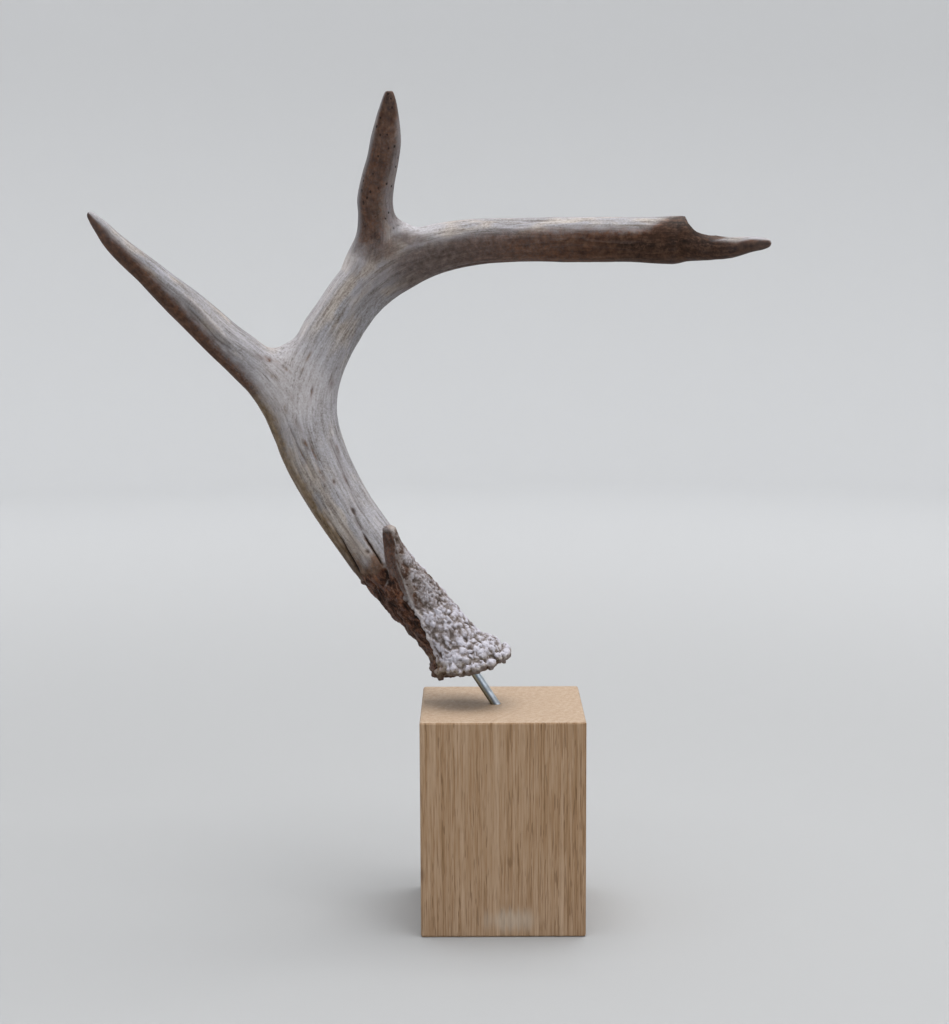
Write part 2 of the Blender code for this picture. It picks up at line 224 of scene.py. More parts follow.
BACK_TINE_BROWN = (
    (0, 138), (35, 130), (50, 122), (64, 114), (81, 103), (98, 95), (118, 82), (136, 70), (151, 68),
    (162, 80),
)
UPRIGHT_BROWN = (
    (0, 78), (12, 62), (22, 62), (31, 67), (45, 60), (55, 54), (68, 48), (81, 40), (89, 12), (94, -10),
)
# How deep the grain is along each of the limbs
LIMB_GRAINS = (
    ((45, 0.5), (66, 1), (170, 0.85), (240, 0.5), (350, 0.45), (378, 0.35), (410, 0.1)),
    ((10, 0.8), (60, 0.8), (110, 0.4), (150, 0.12)),
    ((5, 0.6), (30, 0.4), (88, 0.2)),
    ((0, 0.7),),
)
GRAIN_SEED = 81
SEEDS_PER_GRAIN = 4

# Furrows in the front: half-width, depth, darkness of the painted shade in it and of its stained rim, the
# share of the path over which one sets in, and the path's (x, z) points. One of negative depth is a pale
# ridge.
FURROWS = (
    (0.8, 1.2, 0.85, 0.9, (
        (-87, 197), (-80.1, 183.1), (-77.7, 179.4), (-74.4, 174.8), (-70, 166.8), (-65.4, 158.2),
    )),
    (0.5, 1.1, 0.8, 0.5, ((-66, 182), (-64.5, 179.2), (-62.1, 175.2), (-58.8, 170.4), (-54.8, 163.8))),
    (0.8, 0.6, 0.3, 0.4, ((-74, 199), (-69.7, 190.6), (-67.3, 184.7), (-64.5, 179.5))),
    (0.8, 0.5, 0.25, 0.3, ((-81, 223), (-80.5, 221.3), (-73.3, 205.1), (-68.4, 193.9), (-63.5, 186))),
    (0.9, 0.5, 0.3, 0.3, ((-103, 235), (-94.7, 216.6), (-86.1, 201.4))),
    (1.1, 0.4, 0.0, 0.3, ((-82, 262), (-74, 275), (-60, 288))),
    (0.8, 0.4, 0.2, 0.3, ((-6, 311), (16, 311.6), (33.4, 313.9), (50, 312), (66, 311))),
    (1.5, 0.8, 0.25, 0.3, ((-150, 290.5), (-143.4, 282.5), (-138.3, 276.4), (-133.1, 269.9), (-124, 262))),
    (1.1, -0.6, 0.0, 0.3, ((-150, 293.6), (-143.3, 287.1), (-139.1, 282.4), (-133.9, 275.9), (-127, 268))),
    (0.7, -0.8, 0.0, 0.2, ((-50.8, 169.8), (-47.9, 162.8), (-45, 157.7), (-42.7, 151.6), (-40.4, 146))),
    (0.9, -0.4, 0.0, 0.5, ((-55, 153), (-53.6, 156), (-52.6, 159))),
)
# Pits in the front, darkened with painted shade: (x, z, half-length, half-width, depth)
PITS = (
    (-78.4, 202.1, 1.5, 0.9, 0.4),
    (-69.2, 189.2, 2.4, 1.0, 0.5),
    (-62.5, 170.7, 1.3, 1.1, 0.5),
)
# Brown smears on the front of the first fork and the lower beam: x, z, half-length, half-width, lean, share
SMEARS = (
    (-110.4, 259.5, 6, 1.4, -25, 0.7),
    (-90.6, 260.7, 3.5, 1.3, 60, 0.65),
    (-107.5, 252, 5, 1.6, -40, 0.5),
    (-101.8, 255.5, 6, 0.8, -38, 0.7),
    (-93.3, 254.5, 3.5, 0.9, 55, 0.6),
    (-89, 242.5, 5.5, 0.8, 80, 0.7),
    (-98.6, 241.5, 4.5, 1.2, -62, 0.5),
    (-102, 236, 6, 0.9, -62, 0.5),
    (-95, 228, 5, 1.5, -58, 0.65),
    (-92, 219.6, 3.5, 1.2, -60, 0.75),
    (-93.5, 214.5, 6, 0.9, -62, 0.7),
    (-88, 216, 7, 0.8, -68, 0.7),
    (-77, 216, 5, 1, -70, 0.65),
    (-80, 248, 6, 1, 75, 0.65),
    (-84.5, 206, 6, 0.9, -60, 0.6),
    (-73, 203, 7, 0.8, -64, 0.55),
    (-67.5, 171.5, 11, 4, -60, 0.4),
)
# Where the first fork's face and crotch are bleached
FORK_FACE = (-100, 38, 246)
FORK_CROTCH = (-100, 38, 262)
# Brown-grey patches of stain and painted shade where the upright tine leaves the beam: middles, half-sizes,
# strengths
FORK_STAINS_AND_SHADE = (
    ((-56, 40, 310), (15, 30, 8), 0.62),
    ((-43, 32, 316), (13, 10, 6.5), 0.62),
    ((-67, 32, 303), (9, 14, 10), 0.28),
)
# Dark smudges on the front, most of them near the beam's end: x, z, half-length, half-height, lean, share
SMUDGES = (
    (64, 311.5, 9, 1.9, 0, 0.9),
    (83.5, 313.4, 8, 2.3, 0, 0.9),
    (74.3, 309.8, 7, 1.4, 0, 0.6),
    (93, 312.5, 12, 5, 0, 0.7),
    (83, 323, 8, 5, 0, 1),
    (8, 317.8, 9, 1.2, 0, 0.5),
    (-51.9, 181.1, 3.4, 0.6, 0, 0.7),
    (-57.3, 316.6, 2.4, 2.6, 0, 0.8),
    (-60, 311, 1.8, 3, 0, 0.6),
    (-56, 351.5, 3, 4, 0, 0.35),
    (-51.5, 380, 3, 3, 0, 0.6),
)

# Where the middle of the block's growth rings is, as x and y
OAK_PITH = (-190, 70)
# Marks on the block: where, one over the half-sizes, the colour and how much of it
OAK_MARKS = (
    ((-37.5, -37.5, 29.4), (0.5, 0.3, 0.2), "5a3a20", 0.6),
    ((3, -37.5, 8), (0.062, 0.3, 0.13), "c4b9aa", 0.42),
)

# ---- arrays


def lengths(rows):
    return np.linalg.norm(rows, axis=-1)


def unit(rows):
    return rows / lengths(rows)[..., None]


def eased(values, low, high):
    """0 below low, 1 above high, and a smooth rise between them."""
    share = np.clip((values - low) / (high - low), 0, 1)
    return share * share * (3 - 2 * share)


def falling(values, low, high):
    """1 below low, 0 above high, and a smooth fall between them."""
    return eased(-values, -high, -low)


def read_table(table, places):
    known, values = zip(*table)
    return np.interp(places, known, values)


def lattice_noise(points, seed):
    """Gradient noise, about -1 to 1, at each row of an n by 3 array."""
    rng = np.random.default_rng(seed)
    order = rng.permutation(256)
    slopes = unit(rng.normal(size=(256, 3)))
    cell = np.floor(points).astype(int)
    within = points - cell
    fade = within**3 * (within * (within * 6 - 15) + 10)
    total = np.zeros(len(points))
    for corner in itertools.product((0, 1), repeat=3):
        x, y, z = ((cell + corner) & 255).T
        picked = slopes[order[(order[(order[x] + y) & 255] + z) & 255]]
        weight = np.prod(np.where(corner, fade, 1 - fade), axis=1)
        total += weight * (picked * (within - corner)).sum(axis=1)
    return total * 1.6


def layered_noise(points, seed, layers=3):
    """Noise with finer and weaker noise on top of it."""
    return sum(lattice_noise(points * 2**k, seed + k) / 2**k for k in range(layers))


# ---- limbs


def between(a, b, c, d, t):
    """Catmull-Rom: the value a share t of the way from b to c."""
    return 0.5 * (2 * b + (c - a) * t + (2 * a - 5 * b + 4 * c - d) * t**2 + (3 * b - a - 3 * c + d) * t**3)


def smooth_stations(stations, steps):
    """The stations with this many smooth steps from each to the next."""
    rows = np.array(stations, float)
    rows = np.vstack((2 * rows[0] - rows[1], rows, 2 * rows[-1] - rows[-2]))
    shares = np.arange(steps) / steps
    made = [between(*rows[i : i + 4], t) for i in range(len(rows) - 3) for t in shares]
    return np.array([*made, rows[-2]])


class Limb:
    """A limb's centre line and sections, which tell where on the limb a point lies."""

    def __init__(self, stations, steps):
        rows = smooth_stations(stations, steps)
        self.line = rows[:, :3]
        self.half = rows[:, 3:] / 2
        self.reach = np.concatenate(([0.0], np.cumsum(lengths(np.diff(self.line, axis=0)))))
        ahead = np.vstack((self.line[1:], self.line[-1:]))
        behind = np.vstack((self.line[:1], self.line[:-1]))
        self.along = unit(ahead - behind)
        self.wide = unit(np.cross((0, 1, 0), self.along))
        self.thick = np.cross(self.along, self.wide)

    def locate(self, points, chunk=20000):
        """For each point: how far along, offsets across and back, angle, distance in radii, and direction."""
        squares = (self.line**2).sum(axis=1)
        nearest = np.concatenate([
            (squares - 2 * points[i : i + chunk] @ self.line.T).argmin(axis=1)
            for i in range(0, len(points), chunk)
        ])
        away = points - self.line[nearest]
        reach = self.reach[nearest] + (away * self.along[nearest]).sum(axis=1)
        across = (away * self.wide[nearest]).sum(axis=1)
        back = (away * self.thick[nearest]).sum(axis=1)
        sideways = across / self.half[nearest, 0]
        backwards = back / self.half[nearest, 1]
        return SimpleNamespace(
            reach=reach,
            across=across,
            back=back,
            angle=np.degrees(np.arctan2(backwards, sideways)),
            radii=np.hypot(sideways, backwards),
            along=self.along[nearest],
            radius=self.half[nearest].mean(axis=1),
        )


def bridge(builder, rings):
    """Faces from each ring of vertices to the next."""
    for low, high in zip(rings, rings[1:]):
        for side in range(len(low)):
            after = (side + 1) % len(low)
            builder.faces.new((low[side], low[after], high[after], high[side]))


def add_limb(builder, stations):
    """A closed tube through the stations, with an oval section and rounded ends."""
    limb = Limb(stations, STATION_STEPS)
    turns = [2 * math.pi * side / RING_SIDES for side in range(RING_SIDES)]
    rings = []
    for i, (half_wide, half_thick) in enumerate(limb.half):
        ring = []
        for angle in turns:
            across = limb.wide[i] * (math.cos(angle) * half_wide)
            back = limb.thick[i] * (math.sin(angle) * half_thick)
            ring.append(builder.verts.new((limb.line[i] + (across + back)) * MM))
        rings.append(ring)
    bridge(builder, rings)
    for ring, i, sign in ((rings[0], 0, -1), (rings[-1], -1, 1)):
        tip = builder.verts.new((limb.line[i] + limb.along[i] * (sign * 0.6 * limb.half[i, 1])) * MM)
        for side in range(RING_SIDES):
            after = (side + 1) % RING_SIDES
            corners = (ring[side], ring[after], tip)
            builder.faces.new(corners if sign > 0 else corners[::-1])


def add_bead(builder, centre, half_size, turn=None, fineness=3):
    """An ellipsoid, in millimetres, turned by a 3x3 matrix."""
    place = Matrix.Translation(Vector(centre) * MM)
    if turn:
        place = place @ turn.to_4x4()
    size = Matrix.Diagonal((*(Vector(half_size) * MM), 1))
    bmesh.ops.create_icosphere(builder, subdivisions=fineness, radius=1, matrix=place @ size)


def burr_turn():
    return Matrix.Rotation(BURR_TILT, 3, "Y") @ Matrix.Rotation(BURR_NOD, 3, "X")


def add_burr(builder):
    """The burr's disc, with knobs of uneven size all round its rim."""
    tilt = burr_turn()
    centre = Vector(BURR_CENTRE)
    add_bead(builder, centre, BURR_HALF_SIZE, tilt, 4)
    add_bead(builder, centre + tilt @ Vector(BURR_FLARE_OFFSET), BURR_FLARE_HALF_SIZE, tilt, 4)
    rng = np.random.default_rng(7)
    for k in range(BURR_KNOBS):
        angle = 2 * math.pi * (k + rng.uniform(-0.35, 0.35)) / BURR_KNOBS
        out = Vector((math.cos(angle), math.sin(angle), 0))
        around = Vector((-out.y, out.x, 0))
        rim = Vector((out.x * BURR_HALF_SIZE[0], out.y * BURR_HALF_SIZE[1], rng.uniform(*BURR_KNOB_HEIGHTS)))
        half = Vector(BURR_KNOB_HALF_SIZE) * rng.uniform(*BURR_KNOB_SCALES)
        turn = tilt @ Matrix((out, around, Vector((0, 0, 1)))).transposed()
        add_bead(builder, centre + tilt @ rim, half, turn)
    for *at, half in BURR_LUMPS:
        add_bead(builder, at, (half, half, half))


# ---- meshes


def add_object(name, mesh):
    obj = bpy.data.objects.new(name, mesh)
    bpy.context.scene.collection.objects.link(obj)
    return obj


def mesh_from(builder, name):
    mesh = bpy.data.meshes.new(name)
    builder.to_mesh(mesh)
    builder.free()
    return mesh


def baked(obj, *helpers):
    """A new mesh of what the object's modifiers make of it. The object and its helpers are removed."""
    graph = bpy.context.evaluated_depsgraph_get()
    mesh = bpy.data.meshes.new_from_object(obj.evaluated_get(graph))
    for done in (obj, *helpers):
        bpy.data.objects.remove(done)
    return mesh


def remeshed(mesh, voxel):
    """All the mesh's overlapping shells as one closed surface."""
    obj = add_object("remeshed", mesh)
    remesh = obj.modifiers.new("fuse", "REMESH")
    remesh.mode = "VOXEL"
    remesh.voxel_size = voxel * MM
    remesh.adaptivity = 0
    return baked(obj)


def cut(mesh, cutter_mesh):
    """The mesh less the cutter."""
    obj = add_object("cut", mesh)
    cutter = add_object("cutter", cutter_mesh)
    boolean = obj.modifiers.new("cut", "BOOLEAN")
    boolean.operation = "DIFFERENCE"
    boolean.solver = "EXACT"
    boolean.object = cutter
    return baked(obj, cutter)


def read_rows(items, attribute):
    """A vector of each item, as an n by 3 array."""
    values = np.empty(3 * len(items), np.float32)
    items.foreach_get(attribute, values)
    return values.reshape(-1, 3).astype(float)


def points_of(mesh):
    return read_rows(mesh.vertices, "co") / MM


def normals_of(mesh):
    return read_rows(mesh.vertex_normals, "vector")


def place_points(mesh, points):
    mesh.vertices.foreach_set("co", (points * MM).astype(np.float32).ravel())
    mesh.update()


def edges_of(mesh):
    ends = np.empty(2 * len(mesh.edges), np.int32)
    mesh.edges.foreach_get("vertices", ends)
    return ends.reshape(-1, 2)


def softened(values, edges, rounds, share=1.0):
    """Moves each vertex's values towards its neighbours' mean, by one share or by a share for each vertex."""
    first, second = edges.T
    count = np.bincount(edges.ravel(), minlength=len(values))[:, None]
    share = np.broadcast_to(share, len(values))[:, None]
    for _ in range(rounds):
        total = np.stack([
            np.bincount(first, column[second], len(values)) + np.bincount(second, column[first], len(values))
            for column in values.T
        ], axis=1)
        values = values + (total / count - values) * share
    return values


# ---- relief


class Skin:
    """Where each point of a mesh lies on the antler."""

    def __init__(self, mesh):
        self.points, self.normals, self.edges = points_of(mesh), normals_of(mesh), edges_of(mesh)
        self.places = [Limb(stations, LOCATE_STEPS).locate(self.points) for stations in LIMBS]
        self.beam, self.back, self.upright, self.brow = self.places
        pull = np.exp(-5 * np.stack([place.radii for place in self.places]))
        self.shares = pull / pull.sum(axis=0)
        self.of_beam, self.of_back, self.of_upright, self.of_brow = self.shares
        self.front = falling(self.normals[:, 1], -0.4, -0.05)
        self.wavy = layered_noise(self.points / 3.5, 51)
        above_burr = ((self.points - BURR_CENTRE) @ np.array(burr_turn()))[:, 2]
        self.in_burr = falling(above_burr, 3, 9)


def grain_point(place, length):
    """Places for noise that runs along a limb, this many millimetres long to one across."""
    return np.stack((place.reach / length, place.across, place.back), axis=1)


def wrinkled(points, amount, size, seed):
    """The points, each shifted a little by noise, so that what is placed by them has uneven outlines."""
    shift = [lattice_noise(points / size, seed + k) for k in range(3)]
    return points + amount * np.stack(shift, axis=1)


def foot_regions(skin):
    """The foot at each point: bare bone, pearls and their whiteness, and how far past the bare edge it is."""
    reach, angle = skin.beam.reach, skin.beam.angle
    front_edge = read_table(FOOT_EDGE, reach) + 5 * skin.wavy
    back_edge = read_table(BARE_BACK_EDGE, reach) + 8 * skin.wavy
    past = np.radians(np.where(angle < 0, front_edge - angle, angle - back_edge)) * FOOT_RADIUS
    uneven = 5 * lattice_noise(skin.points / 7, 52) + skin.wavy
    below_top = BARE_UP_TO + uneven - reach - 0.05 * (angle + 180) * (angle < 0)
    fringe = eased(past, -2, 2) * eased(below_top, -13, -1)
    on_brow = eased(skin.of_brow, 0.35, 0.6)
    bare = eased(past, -0.3, 0.6) * eased(below_top, -3, 3)
    bare = bare * (1 - on_brow * eased(skin.brow.reach, 20, 30))
    brow_round = eased(np.cos(np.radians(skin.brow.angle + 20)), -0.15, 0.3)
    pearled = falling(reach, 52, 67) * (1 - skin.of_brow) * falling(past, -0.6, 1) + skin.of_brow * brow_round
    in_front = falling(angle, -10, 10)
    strip = falling(past, -2.4, -1.4) * eased(past, -7, -4.8) * eased(reach, 24, 34) * falling(reach, 52, 62)
    strip = strip * in_front
    ridge = np.exp(-(((past + 1.1) / 0.9) ** 2)) * eased(reach, 4, 10) * falling(reach, 36, 44)
    white = falling(reach, 52, 68) * (1 - 0.55 * on_brow) * (1 - 0.7 * strip)
    return SimpleNamespace(
        past=past,
        bare=bare,
        fringe=fringe,
        pearled=np.clip(pearled, 0, 1) * (1 - bare),
        strip=strip,
        ridge=ridge * in_front * (1 - on_brow),
        white=np.clip(white, 0, 1),
    )


def pick_lumps(rng, points, allowed, sizes, stretch, along, crowding, tries=7000):
    """Picks points as middles of lumps that hardly overlap: their indices, half-lengths and half-widths."""
    order = rng.permutation(np.flatnonzero(allowed))[:tries]
    picked = np.zeros(len(order), int)
    longs = np.zeros(len(order))
    shorts = np.zeros(len(order))
    n = 0
    for i in order:
        short = rng.uniform(*sizes[i])
        long = short * stretch[i]
        away = points[i] - points[picked[:n]]
        down = away @ along[i]
        over = np.sqrt(np.maximum((away**2).sum(axis=1) - down**2, 0))
        apart = (down / (long + longs[:n])) ** 2 + (over / (short + shorts[:n])) ** 2
        if n and apart.min() < crowding:
            continue
        picked[n], longs[n], shorts[n] = i, long, short
        n += 1
    return picked[:n], longs[:n], shorts[:n]


def domes(rng, points, along, lumps, lowest):
    """How high each point is on the lumps: on a middle from the lowest to 1, and 0 outside all of them."""
    height = np.zeros(len(points))
    for i, long, short in zip(*lumps):
        top = rng.uniform(lowest, 1)
        away = points - points[i]
        near = np.flatnonzero((np.abs(away) < long).all(axis=1))
        away = away[near]
        down = away @ along[i]
        over = (away**2).sum(axis=1) - down**2
        dome = top * np.sqrt(np.clip(1 - (down / long) ** 2 - over / short**2, 0, 1))
        height[near] = np.maximum(height[near], dome)
    return height


def pearl_relief(skin, foot):
    """Pearls that stand out of the foot, the burr and the brow tine's side, long ones near the bare edge."""
    rng = np.random.default_rng(5)
    zone = np.flatnonzero((foot.pearled > 0.15) | (skin.in_burr > 0.2))
    spots = wrinkled(skin.points[zone], 1.3, 2.4, 61)
    on_brow = eased(skin.of_brow[zone], 0.35, 0.6)
    way = np.where(on_brow[:, None] > 0.5, skin.brow.along[zone], skin.beam.along[zone])
    near_edge = eased(foot.past[zone], -20, -6) * (skin.beam.angle[zone] < 0) * (1 - skin.in_burr[zone])
    stretch = 1.1 + 2.4 * near_edge * (1 - on_brow) + 0.8 * on_brow
    shrink = 1 - 0.4 * on_brow - 0.4 * near_edge - 0.35 * skin.in_burr[zone]
    sizes = np.stack((1.3 * shrink, 3.1 * shrink), axis=1)
    large = pick_lumps(rng, spots, np.full(len(zone), True), sizes, stretch, way, 0.55)
    pearls = domes(rng, spots, way, large, 0.55)
    small = pick_lumps(rng, spots, pearls < 0.4, sizes * 0.5, stretch, way, 0.7)
    beads = domes(rng, spots, way, small, 0.4)
    height = np.zeros(len(skin.points))
    swells = 1 - 2.4 * np.abs(lattice_noise(grain_point(skin.beam, 3)[zone] / 2.6, 64))
    height[zone] = np.maximum(pearls, 0.55 * beads) - 0.5
    height[zone] += 0.4 * near_edge * (np.clip(swells, -1, 1) - height[zone])
    height += 0.2 * layered_noise(skin.points / 1.5, 65, 2)
    height -= 0.45 * eased(lattice_noise(skin.points / 4.2, 63), 0.2, 0.6)
    height *= 1.05 + 0.35 * lattice_noise(skin.points / 5.5, 66)
    on_side = 0.9 - 0.4 * eased(skin.brow.reach, 30, 44)
    full = 1.3 * (1 - skin.of_brow) + on_side * skin.of_brow
    return foot.pearled * full * (1 - 0.4 * skin.in_burr) * height


def bare_relief(skin, foot):
    """The rough bone where the foot's crust has gone, sunk below it."""
    fibres = layered_noise(grain_point(skin.beam, 2.2) / 2.2, 71)
    lumps = lattice_noise(skin.points / 4.5, 75)
    return foot.bare * (0.6 * fibres + 0.8 * lumps - 0.8 + 0.4 * skin.in_burr)


def grain_relief(place, depth, seed):
    """Ribs and narrow cracks along a limb."""
    ribs = 0.22 * lattice_noise(grain_point(place, 8) / 2.4, seed)
    fine = 0.1 * lattice_noise(grain_point(place, 8) / 1.1, seed + 1)
    folded = 1 - np.abs(lattice_noise(grain_point(place, 8) / 1.9, seed + 2)) * 3.4
    patchy = eased(lattice_noise(grain_point(place, 3) / 6, seed + 3), -0.25, 0.35)
    cracks = -0.28 * np.clip(folded, 0, 1) ** 2 * patchy
    return depth * (ribs + fine + cracks)


def distance_to_path(points, path):
    """Each point's distance to the path in the plane, and its share of the way along."""
    path = np.array(path, float)
    best = np.full(len(points), 1e9)
    share = np.zeros(len(points))
    for i, (start, run) in enumerate(zip(path, np.diff(path, axis=0))):
        t = np.clip(((points - start) @ run) / (run @ run), 0, 1)
        gap = lengths(points - start - t[:, None] * run)
        nearer = gap < best
        best[nearer] = gap[nearer]
        share[nearer] = (i + t[nearer]) / (len(path) - 1)
    return best, share


def furrow_relief(skin):
    """The tables' furrows and pits: their relief, painted shade and stained rims, and the pale ridges."""
    flat = skin.points[:, [0, 2]]
    waver = layered_noise(skin.points / 3, 31, 2)
    depth, dark, rim, crest = np.zeros((4, len(flat)))
    for half_width, deep, darkness, fade_in, path in FURROWS:
        gap, share = distance_to_path(flat, path)
        sets_in = eased(share, 0, fade_in) * eased(1 - share, 0, 0.1) * skin.front
        width = 1.7 * half_width * (0.5 + 0.5 * eased(share, 0, fade_in)) * (1 + 0.4 * waver)
        cross = np.clip(1 - gap / width, 0, 1) ** 1.3 * sets_in
        depth += deep * cross
        if deep < 0:
            crest = np.maximum(crest, cross)
            continue
        # Painted shade along the furrow
        dark = np.maximum(dark, darkness * cross)
        stained = eased(1 - gap / (3.2 * half_width) + 0.2 * waver, 0, 0.8)
        rim = np.maximum(rim, darkness * stained * sets_in)
    down_beam = np.array((-0.5, 0.87))
    for x, z, long, wide, deep in PITS:
        away = flat - (x, z)
        down = away @ down_beam
        over = away[:, 0] * down_beam[1] - away[:, 1] * down_beam[0]
        cross = np.clip(1 - (down / long) ** 2 - (over / wide) ** 2 + 0.5 * waver, 0, 1)
        cross *= skin.front * (np.abs(away).max(axis=1) < 2 * long)
        depth += deep * cross
        # Painted shade in the pit
        dark = np.maximum(dark, 0.35 * cross)
        stained = eased(1.8 - np.hypot(down / long, over / wide) + 0.5 * waver, 0, 1.3)
        rim = np.maximum(rim, 0.6 * stained * skin.front)
    return -depth, dark, rim, crest


def stray_furrows(place, seed, count, reaches, angles, depths):
    """Long furrows at random places round a limb."""
    rng = np.random.default_rng(seed)
    depth = np.zeros(len(place.reach))
    for _ in range(count):
        start = rng.uniform(*reaches)
        length = rng.uniform(22, 60)
        middle = rng.uniform(*angles)
        deep = rng.uniform(*depths)
        share = (place.reach - start) / length
        sway = 9 * np.sin(place.reach / 17 + rng.uniform(0, 6))
        turned = (place.angle - middle - sway + 180) % 360 - 180
        off = np.radians(turned) * place.radius / rng.uniform(0.7, 1.1)
        depth += deep * np.exp(-(off**2)) * eased(share, 0, 0.25) * eased(1 - share, 0, 0.25)
    return -depth


def limb_relief(skin, foot):
    """The grain and the stray furrows of the beam and the tines."""
    relief = np.zeros(len(skin.points))
    for k, (place, share, depths) in enumerate(zip(skin.places, skin.shares, LIMB_GRAINS)):
        seed = GRAIN_SEED + SEEDS_PER_GRAIN * k
        relief += share * grain_relief(place, read_table(depths, place.reach), seed)
    relief += skin.of_beam * stray_furrows(skin.beam, 3, 26, (55, 330), (-10, 215), (0.2, 0.75))
    relief += skin.of_back * stray_furrows(skin.back, 4, 7, (25, 95), (-80, 200), (0.15, 0.4))
    return (1 - foot.pearled) * (1 - foot.bare) * relief


def broken_face(skin):
    """How far each point of the brow tine stands out of its flat broken face, and the way that this faces."""
    ridge_top, ridge_foot, left = np.array(BROW_FACE)
    way = unit(np.cross(left - ridge_top, ridge_foot - ridge_top))
    out = (skin.points - ridge_top) @ way
    return np.where(skin.of_brow > 0.45, np.clip(out, 0, None), 0), way


def carve(mesh):
    """Gives the skin its relief, and returns what its material needs to know at each vertex."""
    skin = Skin(mesh)
    foot = foot_regions(skin)
    furrows, dark, rim, crest = furrow_relief(skin)
    relief = pearl_relief(skin, foot) + bare_relief(skin, foot) + limb_relief(skin, foot)
    relief += (1 - 0.7 * foot.pearled) * furrows + 0.55 * foot.ridge
    cap = eased(skin.brow.reach, 43.5, 45) * skin.of_brow
    relief += 0.35 * cap
    flat, flat_way = broken_face(skin)
    flat_share = eased(flat, 0, 0.5) * (1 - cap)
    fibres = 0.16 * layered_noise(skin.points / (1.5, 1.5, 4), 99)
    relief = relief * (1 - 0.7 * flat_share) + flat_share * fibres
    carved = skin.points - flat_way * (flat * (1 - 0.5 * cap))[:, None] + skin.normals * relief[:, None]
    over_tip = np.clip(carved[:, 2] - UPRIGHT_TOP, 0, None) * (carved[:, 0] < -40)
    carved[:, 2] -= over_tip * (0.75 + 0.25 * np.clip(lattice_noise(carved / 1.6, 45), -1, 1))
    place_points(mesh, carved)
    normals = normals_of(mesh)
    # How far each vertex stands out of or sinks into its smoothed surroundings: the material paints
    # highlights and shade by it
    height = ((carved - softened(carved, skin.edges, RELIEF_SMOOTHING)) * normals).sum(axis=1)
    marks = stains(skin, foot, rim, crest)
    # A little more height in the burr, so that the material paints it lighter
    height += 0.15 * skin.in_burr
    return {**marks, "relief": np.stack((height, foot.pearled, dark), axis=1)}


# ---- stains


def beam_brown(skin):
    """The brown on the outer side of the lower beam, and on the inner side and face of the upper beam."""
    reach, angle = skin.beam.reach, skin.beam.angle
    blur = 6 * skin.wavy
    outer = eased(np.abs(angle) - read_table(OUTER_BROWN, reach) + blur, -16, 16)
    outer *= read_table(OUTER_BROWN_DEPTH, reach)
    inner = eased(read_table(INNER_BROWN, reach) - np.abs(angle) + blur, -26, 26)
    inner *= read_table(INNER_BROWN_DEPTH, reach)
    return np.maximum(outer, inner)


def back_tine_brown(skin):
    """The brown on the lower side of the back tine."""
    reach, angle = skin.back.reach, np.abs(skin.back.angle)
    softness = 28 - 11 * falling(reach, 20, 50)
    return 0.85 * eased((angle - read_table(BACK_TINE_BROWN, reach) + 6 * skin.wavy) / softness, -1, 1)


def upright_brown(skin):
    """The brown of the upright tine, weaker on both of the sides that the front view shows edge-on."""
    reach, angle = skin.upright.reach, np.abs(skin.upright.angle)
    shade_side = eased(angle - read_table(UPRIGHT_BROWN, reach) + 6 * skin.wavy, -26, 26)
    outer_side = 0.75 * eased(angle, 128, 162)
    depth = 0.37 + 0.38 * shade_side + 0.15 * eased(reach, 72, 86)
    return depth * (1 - outer_side) * eased(reach + 4 * skin.wavy, -6, 24)


def bleach_and_tine_top_shade(skin):
    """Where the sun has bleached the bone: 1 is pale, 2 is nearly white, and below 0 is painted shade."""
    reach, angle = skin.beam.reach, np.abs(skin.beam.angle)
    upward = skin.normals[:, 2]
    crotch = falling(lengths(skin.points - FORK_CROTCH), 8, 26) * eased(upward, 0.0, 0.6)
    fork_face = 1.3 * falling(lengths(skin.points - FORK_FACE), 14, 40)
    of_bend = skin.of_beam + skin.of_upright * falling(skin.upright.reach, 8, 20)
    outer = 1.8 * of_bend * eased(angle, 118, 150) * eased(reach, 150, 175) * falling(reach, 240, 262)
    # Kept from full white on faces turned up, as painted shade against the light from above
    outer = np.minimum(outer, 1.8 - 0.9 * eased(upward, 0.3, 0.7))
    cap = eased(skin.brow.reach, 44, 46) * skin.of_brow
    inner = 0.5 * skin.of_beam * eased(np.cos(np.radians(skin.beam.angle + 30)), 0.3, 0.9)
    inner *= falling(reach, 130, 165)
    # The back tine's front: bleached, and painted lighter only on faces that the light from above misses
    tine_face = 0.8 * skin.of_back * falling(np.abs(skin.back.angle), 50, 95)
    tine_face *= falling(skin.back.reach, 85, 125) * falling(upward, 0.4, 0.8)
    # Painted shade on the back tine's top, which the light from above brightens
    tine_top_shade = 0.8 * skin.of_back * eased(upward, 0.4, 0.9) * eased(skin.back.reach, 22, 50)
    return np.clip(np.maximum.reduce((crotch, fork_face, outer, cap, inner, tine_face)), 0, 2) - tine_top_shade


def spots(skin, table, waver=0.0):
    """How strong a table's leaning oval spots are at each point of the front."""
    x, _, z = skin.points.T
    strongest = np.zeros(len(x))
    for at_x, at_z, long, wide, lean, strength in table:
        run, rise = math.cos(math.radians(lean)), math.sin(math.radians(lean))
        down = (x - at_x) * run + (z - at_z) * rise
        over = (z - at_z) * run - (x - at_x) * rise + waver
        spread = (down / long) ** 2 + (over / wide) ** 2
        strongest = np.maximum(strongest, strength * np.exp(-spread) * skin.front)
    return strongest


